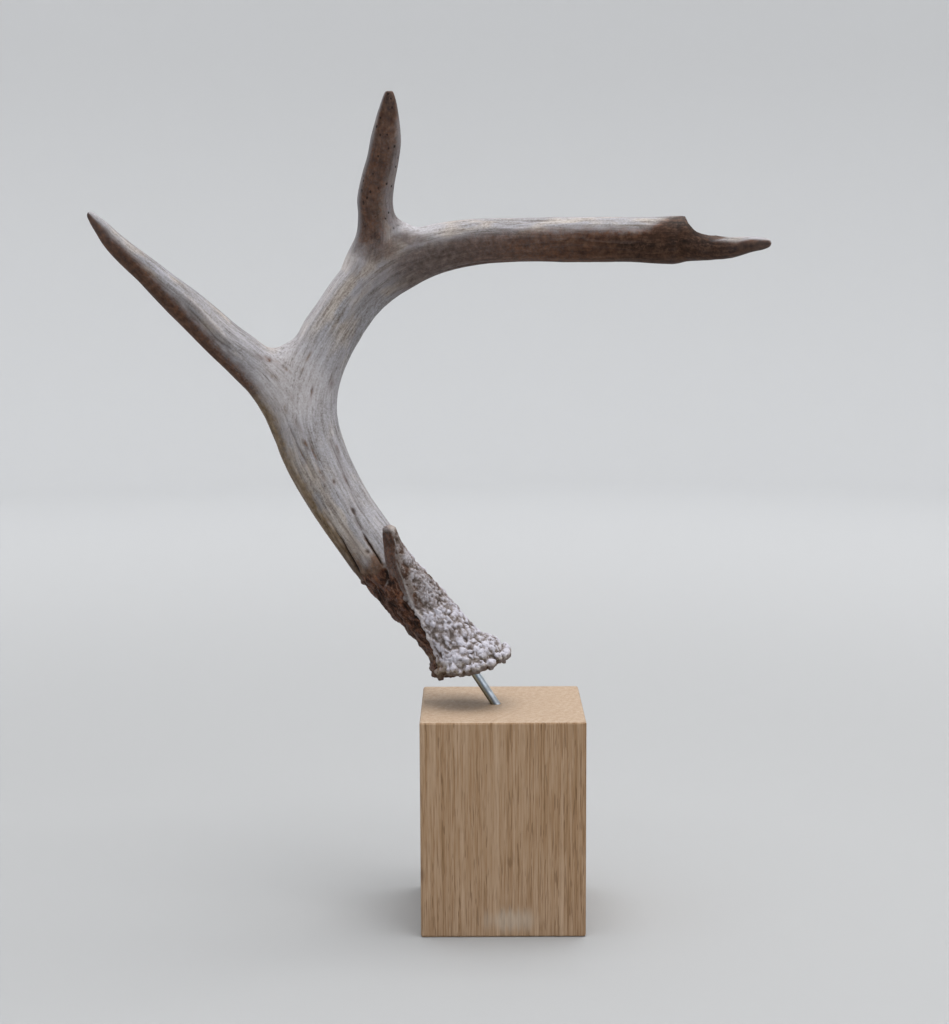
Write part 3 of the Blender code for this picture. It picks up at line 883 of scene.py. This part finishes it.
def stains(skin, foot, rim, crest):
    """What colours each point, and where on its limb it lies, as vectors for the material."""
    brown = skin.of_beam * beam_brown(skin) + skin.of_back * back_tine_brown(skin)
    brown += skin.of_upright * upright_brown(skin)
    x, _, z = skin.points.T
    past_edge = eased(read_table(BROW_BROWN_EDGE, z) - x + 0.4 * skin.wavy, -1.8, 1.4)
    brown += skin.of_brow * (0.1 + 0.55 * np.maximum(past_edge, 1 - skin.front))
    cap = eased(skin.brow.reach, 42.8, 44) * skin.of_brow
    ridge = np.maximum.reduce((foot.ridge, crest, cap))
    edges = np.maximum(0.65 * foot.strip, 0.8 * foot.fringe)
    streaky = 0.5 + 0.5 * eased(lattice_noise(grain_point(skin.beam, 6) / 1.3, 57), -0.4, 0.5)
    smears = streaky * spots(skin, SMEARS, 0.6 * skin.wavy)
    brown = np.maximum.reduce((brown, edges, 0.75 * rim, smears))
    # Stain and painted shade in the crotch where the upright tine leaves the beam
    for at, half_size, strength in FORK_STAINS_AND_SHADE:
        away = lengths((skin.points - at) / half_size) + 0.15 * skin.wavy
        brown = np.maximum(brown, strength * falling(away, 0.4, 1.25))
    brown = np.clip(brown * (1 - 0.8 * ridge), 0, 1)
    bare = np.maximum(foot.bare * (1 - 0.6 * crest), 0.45 * skin.of_brow * past_edge)
    pale = bleach_and_tine_top_shade(skin)
    # The burr's faces turned down: the material paints warm bounce light and shade on them
    down = np.array(burr_turn())[:, 2]
    under = falling(skin.normals @ down, -0.25, 0.55) * skin.in_burr
    specks = skin.of_upright * eased(skin.upright.reach, 12, 36)
    others = [grain_point(place, 1) + 50 * k for k, place in enumerate(skin.places[1:], 1)]
    return {
        "grain_beam": grain_point(skin.beam, 1),
        "grain_tine": np.choose(np.argmax(skin.shares[1:], axis=0)[:, None], others),
        "stain": np.stack((brown, bare, pale), axis=1),
        "marks": np.stack((foot.white, specks, spots(skin, SMUDGES)), axis=1),
        "shares": np.stack((1 - skin.of_beam, under, ridge), axis=1),
    }


# ---- the antler


def antler_form():
    """The fused limbs with soft forks, before the scar, the burr and the relief."""
    limbs = bmesh.new()
    for stations in LIMBS:
        add_limb(limbs, stations)
    for web in WEBS:
        add_bead(limbs, web[:3], web[3:])
    form = remeshed(mesh_from(limbs, "limbs"), FORM_VOXEL)
    points, edges = points_of(form), edges_of(form)
    for centres, reach, rounds in (SOFT_FORKS, SOFT_SCAR_FOOT):
        nearest = np.min([lengths(points - centre) for centre in centres], axis=0)
        share = np.clip(1.6 * (1 - nearest / reach), 0, 1) * 0.5
        points = softened(points, edges, rounds, share)
    place_points(form, points)
    return form


def antler_skin():
    """The form with its burr and back knob, remeshed finely."""
    builder = bmesh.new()
    builder.from_mesh(antler_form())
    add_burr(builder)
    add_bead(builder, BACK_KNOB[:3], BACK_KNOB[3:])
    mesh = remeshed(mesh_from(builder, "skin"), SKIN_VOXEL)
    place_points(mesh, softened(points_of(mesh), edges_of(mesh), SKIN_SMOOTHING, 0.5))
    return mesh


def thinned(mesh):
    """The mesh with fewer triangles."""
    triangles = sum(len(p.vertices) - 2 for p in mesh.polygons)
    obj = add_object("thinned", mesh)
    fewer = obj.modifiers.new("fewer", "DECIMATE")
    fewer.ratio = min(1.0, MOST_TRIANGLES / triangles)
    return baked(obj)


def scar_mesh():
    """The cutter for the gnawed scar, with the teeth's narrow grooves."""
    builder = bmesh.new()
    add_bead(builder, GNAWED_AT, GNAWED_HALF_SIZE, fineness=6)
    mesh = mesh_from(builder, "scar")
    points = points_of(mesh)
    way = unit((points - GNAWED_AT) / np.array(GNAWED_HALF_SIZE) ** 2)
    grooves = 0.15 * np.sin(points[:, 1] * 3.4 + 2 * lattice_noise(points / 5, 41))
    place_points(mesh, points + way * (grooves + 0.2 * layered_noise(points / 3, 42))[:, None])
    return mesh


def bore_mesh():
    """The cutter for the rod's hole in the antler's foot."""
    axis = Vector((-math.sin(ROD_LEAN), 0, math.cos(ROD_LEAN)))
    start = Vector(ROD_ENTRY) + axis * (ROD_FREE - BORE_OVERSHOOT)
    end = Vector(ROD_ENTRY) + axis * (ROD_FREE + ROD_IN_ANTLER + FIT_GAP)
    turn = Vector((0, 0, 1)).rotation_difference(axis).to_matrix().to_4x4()
    radius = (ROD_DIAMETER / 2 + FIT_GAP) * MM
    builder = bmesh.new()
    bmesh.ops.create_cone(
        builder,
        cap_ends=True,
        segments=BORE_SIDES,
        radius1=radius,
        radius2=radius,
        depth=(end - start).length * MM,
        matrix=Matrix.Translation((start + end) / 2 * MM) @ turn,
    )
    return mesh_from(builder, "bore")


def carry_over(points, kept, mesh):
    """Gives each vertex of the mesh what was kept for the nearest point, and the scar its own brown."""
    tree = kdtree.KDTree(len(points))
    for i, point in enumerate(points):
        tree.insert(point, i)
    tree.balance()
    cut_points = points_of(mesh)
    nearest = np.array([tree.find(point)[1] for point in cut_points])
    kept = {name: values[nearest] for name, values in kept.items()}
    from_scar = lengths((cut_points - GNAWED_AT) / GNAWED_HALF_SIZE)
    by_scar = falling(from_scar, 1.1, 1.3)
    brown, _, pale = kept["stain"].T
    smudged = kept["marks"][:, 2]
    brown[:] = np.maximum(brown, by_scar)
    pale *= eased(from_scar, 1.05, 1.2)
    smudged[:] = np.maximum(smudged, 0.6 * by_scar)
    for name, values in kept.items():
        attribute = mesh.attributes.new(name, "FLOAT_VECTOR", "POINT")
        attribute.data.foreach_set("vector", values.astype(np.float32).ravel())


def make_antler():
    mesh = antler_skin()
    kept = carve(mesh)
    points = points_of(mesh)
    mesh = cut(cut(thinned(mesh), scar_mesh()), bore_mesh())
    carry_over(points, kept, mesh)
    mesh.materials.clear()
    mesh.materials.append(bone())
    mesh.shade_smooth()
    mesh.set_sharp_from_angle(angle=SHARP_ANGLE)
    antler = add_object("antler", mesh)
    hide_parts("main_beam", "back_tine", "upright_tine")
    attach(antler, "root")


# ---- materials


def shade(code):
    """A colour given as six hexadecimal digits, as Blender's linear values."""
    parts = [int(code[i : i + 2], 16) / 255 for i in (0, 2, 4)]
    return (*[p / 12.92 if p <= 0.04045 else ((p + 0.055) / 1.055) ** 2.4 for p in parts], 1)


class Field:
    """A node's output. Arithmetic on it and its methods each add a node, and give that node's output."""

    def __init__(self, surface, socket):
        self.surface = surface
        self.socket = socket

    def maths(self, operation, *others):
        return self.surface.node("Math", dict(enumerate((self, *others))), operation=operation)

    __add__ = partialmethod(maths, "ADD")
    __sub__ = partialmethod(maths, "SUBTRACT")
    __mul__ = partialmethod(maths, "MULTIPLY")
    __pow__ = partialmethod(maths, "POWER")
    larger = partialmethod(maths, "MAXIMUM")

    def __rsub__(self, other):
        return self.surface.node("Math", {0: other, 1: self}, operation="SUBTRACT")

    def vector(self, operation, *others, output=0):
        return self.surface.node("VectorMath", dict(enumerate((self, *others))), output, operation=operation)

    def scaled(self, *factors):
        return self.vector("MULTIPLY", factors)

    def length(self):
        return self.vector("LENGTH", output=1)

    def parts(self):
        split = self.surface.node("SeparateXYZ", {0: self}).socket.node
        return [Field(self.surface, socket) for socket in split.outputs]

    def noise(self, scale, detail=2.0, roughness=0.5, distortion=0.0):
        settings = {"Vector": self, "Scale": scale, "Detail": detail}
        return self.surface.node("TexNoise", {**settings, "Roughness": roughness, "Distortion": distortion})

    def rise(self, low, high, bottom=0.0, top=1.0):
        """A smooth rise from bottom to top as this goes from low to high."""
        inputs = dict(enumerate((self, low, high, bottom, top)))
        return self.surface.node("MapRange", inputs, interpolation_type="SMOOTHSTEP")

    def ramp(self, *stops):
        """A colour ramp through (place, six hexadecimal digits) stops."""
        made = self.surface.node("ValToRGB", {0: self})
        points = made.socket.node.color_ramp.elements
        while len(points) < len(stops):
            points.new(1.0)
        for point, (place, code) in zip(points, stops):
            point.position = place
            point.color = shade(code)
        return made

    def under(self, share, colour):
        """This colour with a share of another over it."""
        return self.surface.mix(share, self, colour)

    def bump(self, distance, strength, below=None):
        inputs = {"Height": self, "Distance": distance, "Strength": strength}
        if below:
            inputs["Normal"] = below
        return self.surface.node("Bump", inputs)


class Surface:
    """A material and its nodes."""

    def __init__(self, name):
        self.material = bpy.data.materials.new(name)
        self.material.use_nodes = True
        self.tree = self.material.node_tree
        self.shader = self.tree.nodes["Principled BSDF"]

    def feed(self, socket, value):
        if isinstance(value, Field):
            self.tree.links.new(value.socket, socket)
        else:
            socket.default_value = value

    def node(self, kind, inputs, output=0, **settings):
        made = self.tree.nodes.new("ShaderNode" + kind)
        for name, value in settings.items():
            setattr(made, name, value)
        for key, value in inputs.items():
            self.feed(made.inputs[key], value)
        return Field(self, made.outputs[output])

    def attribute(self, name):
        return self.node("Attribute", {}, 1, attribute_name=name)

    def millimetres(self):
        """Where the surface is, in millimetres."""
        return self.node("TexCoord", {}, 3).scaled(1000, 1000, 1000)

    def upward(self):
        """How far the surface faces up: 1 on top, -1 underneath."""
        return self.node("NewGeometry", {}, 1).parts()[2]

    def mix(self, share, first, second):
        """The first colour with a share of the second. Either may be six hexadecimal digits."""
        first, second = [shade(colour) if isinstance(colour, str) else colour for colour in (first, second)]
        return self.node("Mix", {0: share, 6: first, 7: second}, 2, data_type="RGBA")

    def blend(self, share, first, second):
        """The first value with a share of the second."""
        return self.node("Mix", {0: share, 2: first, 3: second}, 0, data_type="FLOAT")

    def finish(self, colour, roughness, normal):
        for name, value in (("Base Color", colour), ("Roughness", roughness), ("Normal", normal)):
            self.feed(self.shader.inputs[name], value)
        return self.material


class Bone(Surface):
    """Weathered antler: fields that say what the skin is like at each point, and the layers of its colour."""

    def __init__(self):
        super().__init__("antler")
        self.on_beam, self.on_tine = self.attribute("grain_beam"), self.attribute("grain_tine")
        self.brown, self.bare, self.pale = self.attribute("stain").parts()
        self.height, self.pearled, self.dark = self.attribute("relief").parts()
        self.white, self.speckled, self.smudged = self.attribute("marks").parts()
        self.tine_share, self.underside, self.ridge = self.attribute("shares").parts()
        self.reach, across, _ = self.on_beam.parts()
        self.tine_reach, _, _ = self.on_tine.parts()
        self.outer_side = across.rise(5.0, -11.0)
        self.beam_share = 1.0 - self.tine_share
        squares = self.tine_share.maths("MULTIPLY_ADD", self.tine_share, self.beam_share**2.0)
        self.gain = squares.maths("INVERSE_SQRT")
        streaks = self.grain(12, 1.7, 3.0, 0.65, 0.4)
        self.lines = self.grain(16, 0.8, 2.0, 0.5, 0.2)
        self.clouds = self.grain(2.5, 7)
        self.dots = self.grain(1.3, 0.6)
        place = self.millimetres()
        self.grit = place.noise(0.9, 3.0, 0.6)
        self.blotches = place.noise(0.2, 3.0, 0.6)
        self.mixed = streaks * 0.35 + self.lines * 0.2 + self.dots * 0.2 + self.grit * 0.25
        self.mottled = self.blend(0.4, self.mixed, place.noise(0.4, 3.0, 0.55))
        self.coarse = self.blotches - 0.5
        fine = self.grit - 0.5
        self.lifted = (self.height + (fine * 0.7 + self.coarse * 2.2)).rise(-0.5, 0.65)
        wander = ((self.mixed - 0.5) * 1.6 + fine) * self.brown.rise(0.0, 0.25, 0.0, 0.5)
        self.brownness = (self.brown + wander).rise(0.0, 0.9)
        self.rawness = (self.bare + fine * 0.8).rise(0.15, 0.75)

    def grain(self, length, size, detail=2.0, roughness=0.5, distortion=0.0):
        """Noise drawn out along the limbs, mixed where they meet and as strong there as elsewhere."""
        on_beam, on_tine = [
            place.scaled(1 / length, 1.0, 1.0).noise(1 / size, detail, roughness, distortion)
            for place in (self.on_beam, self.on_tine)
        ]
        return (self.blend(self.tine_share, on_beam, on_tine) - 0.5).maths("MULTIPLY_ADD", self.gain, 0.5)

    def grey(self):
        """Streaked lilac grey, warmer in clouds and on the beam's outer side, with brownish smears."""
        outward = self.outer_side * self.beam_share * self.reach.rise(250.0, 205.0)
        cool = self.mixed.ramp((0.38, "5a534f"), (0.45, "797574"), (0.52, "8b898c"), (0.62, "9f9da3"))
        warm = self.mixed.ramp((0.38, "6b5f57"), (0.45, "8b827b"), (0.53, "a39b94"), (0.63, "b4aca6"))
        smear = self.grain(9, 2.4, 3.0, 0.6, 0.5).rise(0.53, 0.66) * self.blend(outward, 0.35, 0.6)
        colour = cool.under((self.clouds + outward * 0.22).rise(0.46, 0.7), warm)
        return colour.under(smear, self.mixed.ramp((0.4, "55483e"), (0.6, "7c7065")))

    def bleached(self, colour):
        """Paler, then nearly white where the sun has bleached it, painted shade where that is below 0, and
        dark hairlines.
        """
        patchy = self.clouds.rise(0.3, 0.55, 0.75, 1.0)
        paler = self.mixed.ramp((0.38, "7f7979"), (0.46, "959192"), (0.53, "a3a0a3"), (0.63, "b3b1b5"))
        whitest = self.mixed.ramp((0.38, "a59c97"), (0.5, "c2bab6"), (0.62, "cfcaca"))
        colour = colour.under((self.pale * patchy).maths("MINIMUM", 1.0), paler)
        colour = colour.under(self.pale.rise(0.9, 2.0) * patchy, whitest)
        # Painted shade on the back tine's top, where the bleaching is below 0
        colour = colour.under(self.pale.rise(0.0, -1.0, 0.0, 0.6), "5a5858")
        hair = self.lines.rise(0.39, 0.3) * self.blotches.rise(0.42, 0.6, 0.05, 0.45)
        return colour.under(hair, "544b46")

    def pearls(self, colour):
        """Whitish pearls with painted shade in the hollows between them, and the pale ridge beside the bare
        bone.
        """
        # Painted shade: both ramps are darkest where the relief is lowest, between the pearls
        whitish = self.lifted.ramp(
            (0.0, "5a504b"), (0.2, "7b726f"), (0.42, "8c8586"), (0.68, "a9a5ac"), (0.95, "bab7bf")
        )
        dull = self.lifted.ramp((0.0, "3a2d23"), (0.3, "5d5047"), (0.6, "7d726b"), (0.9, "979190"))
        colour = colour.under(self.pearled, dull.under(self.white, whitish))
        return colour.under(self.ridge * 0.6, self.grit.ramp((0.35, "8a7c71"), (0.6, "aca49f")))

    def umber(self):
        """The stains' brown: redder in blotches and with painted bounce light below, dusky by forks, olive on
        the outer side.
        """
        umber = self.mottled.ramp((0.38, "2e1c13"), (0.46, "472f22"), (0.53, "563d2f"), (0.63, "6b5344"))
        reddish = self.mottled.ramp((0.38, "2e170c"), (0.48, "4d3121"), (0.62, "6a4a36"))
        deep = self.mottled.ramp((0.38, "20120b"), (0.48, "362419"), (0.62, "513b2d"))
        dusky = self.mottled.ramp((0.38, "362c28"), (0.46, "4a403c"), (0.53, "5a504c"), (0.63, "6f6662"))
        olive = self.mottled.ramp((0.38, "4f3e2b"), (0.46, "66543e"), (0.53, "7b6852"), (0.63, "908069"))
        # Red blotches, and painted warm bounce light on faces turned down
        red_blotches_and_bounce = self.blotches.rise(0.45, 0.65).larger(self.upward().rise(-0.3, -0.9))
        by_upright = self.beam_share.larger(self.tine_reach.rise(125.0, 108.0))
        dusky_share = self.reach.rise(305.0, 245.0) * self.reach.rise(180.0, 200.0, 0.0, 0.8) * by_upright
        by_back = self.beam_share.larger(self.tine_reach.rise(105.0, 85.0))
        olive_share = self.outer_side * self.reach.rise(62.0, 85.0, 0.3, 0.9) * by_back
        umber = umber.under(red_blotches_and_bounce, reddish).under(self.brown.rise(0.75, 1.0, 0.0, 0.8), deep)
        umber = umber.under(dusky_share, dusky).under(olive_share * self.reach.rise(200.0, 170.0), olive)
        return umber.under(self.lifted.rise(0.5, 0.9) * self.pearled, "7d7068")

    def relief_highlight_and_shade(self, colour):
        """Painted highlight where the relief stands out, and painted shade where it is sunk, away from the
        pearls.
        """
        plain = 1.0 - self.pearled
        # Painted highlight on relief that stands out, and painted shade where it is sunk
        painted_highlight = self.height.rise(0.04, 0.25, 0.0, 0.3) * plain * self.brown.rise(0.7, 0.1, 0.2, 1.0)
        sunk = self.height.rise(-0.04, -0.3, 0.0, 0.5) * plain
        return colour.under(painted_highlight, "b3b0b3").under(sunk, "4a3c32")

    def raw(self):
        """The foot's bare bone: dark brown, with blotches of rust and near-black, greyer lumps and painted
        shade in hollows.
        """
        chunks = self.blend(0.6, self.grit, self.grain(2.4, 1.8, 3.0, 0.6, 0.5))
        raw = chunks.ramp((0.37, "1a0d07"), (0.45, "382116"), (0.53, "523526"), (0.63, "76594a"))
        rust = chunks.ramp((0.4, "4a2513"), (0.6, "8c5b3e"))
        raw = raw.under(self.blotches.rise(0.52, 0.6, 0.0, 0.6), rust)
        raw = raw.under(self.blotches.rise(0.45, 0.36, 0.0, 0.75), "1c0f09")
        raw = raw.under((self.height + self.coarse * 1.6).rise(0.02, 0.35, 0.0, 0.65), "5e4f4b")
        # Painted shade: near-black where the bone sinks below its surroundings
        return raw.under(self.height.rise(-0.05, -0.45, 0.0, 0.8), "130a06")

    def burr_underside_bounce_and_shade(self, colour):
        """Painted warm bounce light from the oak block on the burr's faces turned down, and painted shade
        right below.
        """
        # Painted warm bounce from the oak block, browner as painted shade where faces turn straight down
        tan = self.grit.ramp((0.35, "6a5945"), (0.5, "93866f"), (0.65, "b3a997"))
        tan = tan.under(self.underside.rise(0.7, 1.0, 0.0, 0.85), "49392a")
        return colour.under(self.underside * self.rawness.rise(1.0, 0.0, 0.25, 0.8), tan)

    def marked(self, colour):
        """The colour with painted shade in its furrows and pits, the upright tine's freckles and the smudges.
        """
        cells = self.node("TexVoronoi", {"Vector": self.on_tine.scaled(0.8, 1, 1), "Scale": 0.31})
        freckle = cells.rise(0.22, 0.14) * self.blotches.rise(0.42, 0.5) * (self.speckled * 0.85)
        # Painted shade in the furrows and pits, then the freckles
        colour = colour.under(self.dark.rise(0.12, 0.7, 0.0, 0.9), "1f130d").under(freckle, "15100d")
        return colour.under(self.smudged * self.mixed.rise(0.6, 0.42), "1a110c")


def bone():
    """Weathered antler: bleached grey, pearls, brown stains, bare bone, painted light and shade, and dark
    marks, one over the other.
    """
    made = Bone()
    colour = made.pearls(made.bleached(made.grey()))
    colour = made.relief_highlight_and_shade(colour.under(made.brownness, made.umber()))
    colour = made.marked(made.burr_underside_bounce_and_shade(colour.under(made.rawness, made.raw())))
    roughness = (made.mixed - made.brownness * 0.12).rise(0.3, 0.7, 0.5, 0.78)
    normal = (made.lines * 0.6 + made.dots * 0.3).bump(0.0003, 0.6)
    rough_share = made.rawness.larger(made.pearled * 0.6)
    normal = (made.grit * rough_share).bump(0.0008, 0.8, normal)
    made.shader.inputs["Specular IOR Level"].default_value = 0.12
    return made.finish(colour, roughness, normal)


def oak():
    """Pale oak: rings and pores that run up the sides as streaks and show as end grain on top."""
    made = Surface("oak")
    place = made.millimetres()
    x, y, z = place.parts()
    upward = made.upward()
    radius = ((x - OAK_PITH[0]) ** 2 + (y - OAK_PITH[1]) ** 2).maths("SQRT")
    wobble = place.scaled(0.05, 0.05, 0.012).noise(1.0)
    rings = made.node("CombineXYZ", {0: radius + wobble * 9}).noise(0.42, 3.0, 0.6)
    streaks = place.scaled(1.0, 1.0, 0.012).noise(0.55, 3.0, 0.6)
    fibres = place.scaled(1.0, 1.0, 0.03).noise(2.2)
    figure = rings * 0.25 + streaks * 0.4 + fibres * 0.35
    side = figure.ramp((0.37, "81613d"), (0.46, "987755"), (0.54, "a68869"), (0.64, "b3977b"))
    low_down = figure.ramp((0.37, "957556"), (0.64, "c9ad92"))
    top = figure.ramp((0.36, "9a8067"), (0.5, "a58d75"), (0.64, "b09a84"))
    colour = side.under(z.rise(45.0, 0.0, 0.0, 0.35), low_down).under(upward.rise(0.5, 0.9), top)
    pores = place.scaled(1.0, 1.0, 0.075).noise(1.7, 1.0, 0.4)
    pore = pores.rise(0.56, 0.68) * streaks.rise(0.6, 0.42, 0.35, 1.0) * upward.rise(0.9, 0.5, 0.25, 1.0)
    colour = colour.under(pore * 0.6, "6b4c2c")
    for at, spread, code, strength in OAK_MARKS:
        away = place.vector("SUBTRACT", at).scaled(*spread).length()
        colour = colour.under((away + (streaks - 0.5) * 1.6).rise(1.0, 0.2, 0.0, strength), code)
    groove = figure * 0.5 - pore * 0.7
    return made.finish(colour, figure.rise(0.35, 0.65, 0.62, 0.5), groove.bump(0.00015, 0.6))


def steel():
    """Drawn steel wire with fine scratches along it, and a painted reflection and highlight across it."""
    made = Surface("steel")
    place = made.node("VectorRotate", {0: made.millimetres(), 3: ROD_LEAN}, rotation_type="Y_AXIS")
    scratches = place.scaled(1.0, 1.0, 0.04).noise(4.0, 3.0, 0.6)
    x, _, z = ROD_ENTRY
    axis_at = x * math.cos(ROD_LEAN) + z * math.sin(ROD_LEAN)
    across = (place.parts()[0] - axis_at).maths("DIVIDE", ROD_DIAMETER)
    # Painted reflection across the rod: the oak's brown at the left, dark teal, then a bluish-white highlight
    # at the right
    painted_reflection = (across + 0.5).ramp(
        (0.05, "857756"), (0.3, "b9bdb0"), (0.52, "66778a"), (0.75, "dbe7f4"), (1.0, "ccd4dc")
    )
    colour = painted_reflection.under(place.noise(0.3).rise(0.4, 0.65, 0.0, 0.5), "8b8f93")
    made.shader.inputs["Metallic"].default_value = 1.0
    return made.finish(colour, scratches.rise(0.3, 0.7, 0.34, 0.5), scratches.bump(0.00005, 0.4))


def studio_paint():
    """Matt paint that is paler further out, where less of the light from above falls."""
    made = Surface("studio_paint")
    distance = made.node("NewGeometry", {}).scaled(1, 1, 0).length()
    colour = made.mix(distance.rise(0.3, STUDIO_RADIUS), FLOOR_COLOUR, WALL_COLOUR)
    made.feed(made.shader.inputs["Base Color"], colour)
    made.shader.inputs["Roughness"].default_value = 0.9
    return made.material


def dress_node(name, surface):
    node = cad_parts[name]
    node.data.materials.clear()
    node.data.materials.append(surface)


# ---- studio


def make_stage():
    """A pale round studio: a floor that curves up into a wall all round."""
    profile = [(STUDIO_RADIUS, 0.0)]
    for k in range(1, STUDIO_CURVE_STEPS + 1):
        angle = math.pi / 2 * k / STUDIO_CURVE_STEPS
        out, up = math.sin(angle), 1 - math.cos(angle)
        profile.append((STUDIO_RADIUS + STUDIO_CURVE * out, STUDIO_CURVE * up))
    profile.append((STUDIO_RADIUS + STUDIO_CURVE, STUDIO_HEIGHT))
    builder = bmesh.new()
    turns = [2 * math.pi * k / STUDIO_SIDES for k in range(STUDIO_SIDES)]
    rings = [
        [builder.verts.new((radius * math.cos(turn), radius * math.sin(turn), z)) for turn in turns]
        for radius, z in profile
    ]
    builder.faces.new(rings[0])
    bridge(builder, rings[::-1])
    mesh = mesh_from(builder, "studio")
    mesh.materials.append(studio_paint())
    mesh.shade_smooth()
    studio = add_object("studio", mesh)


def add_light(name, at, size, power):
    light = bpy.data.lights.new(name, "AREA")
    light.shape = "DISK"
    light.size = size
    light.energy = power
    lamp = add_object(name, light)
    lamp.location = at
    lamp.rotation_euler = (Vector(LIGHTS_AIM) - Vector(at)).to_track_quat("-Z", "Y").to_euler()


def make_lights():
    add_light("sky_light", at=(0.15, 0.1, 1.5), size=1.3, power=23)
    add_light("front_light", at=(0.9, -1.3, 0.9), size=0.9, power=4)
    world = bpy.data.worlds.new("studio")
    world.use_nodes = True
    background = world.node_tree.nodes["Background"]
    background.inputs[0].default_value = SKY_COLOUR
    background.inputs[1].default_value = SKY_STRENGTH
    bpy.context.scene.world = world


def make_camera():
    """The photograph's view: a long lens, a little above the antler, looking slightly down."""
    camera = bpy.data.cameras.new("camera")
    camera.lens = CAMERA_LENS
    camera.clip_start = 0.01
    camera.clip_end = 50
    place = Matrix.Translation(Vector(CAMERA_PLACE) * MM)
    pitch = Matrix.Rotation(math.pi / 2 - CAMERA_DIP, 4, "X")
    roll = Matrix.Rotation(CAMERA_ROLL, 4, "Z")
    obj = add_object("camera", camera)
    obj.matrix_world = place @ pitch @ roll
    bpy.context.scene.camera = obj


make_camera()
make_stage()
make_lights()
bpy.context.scene.view_settings.view_transform = "Standard"
make_antler()
dress_node("oak_block", oak())
dress_node("steel_rod", steel())
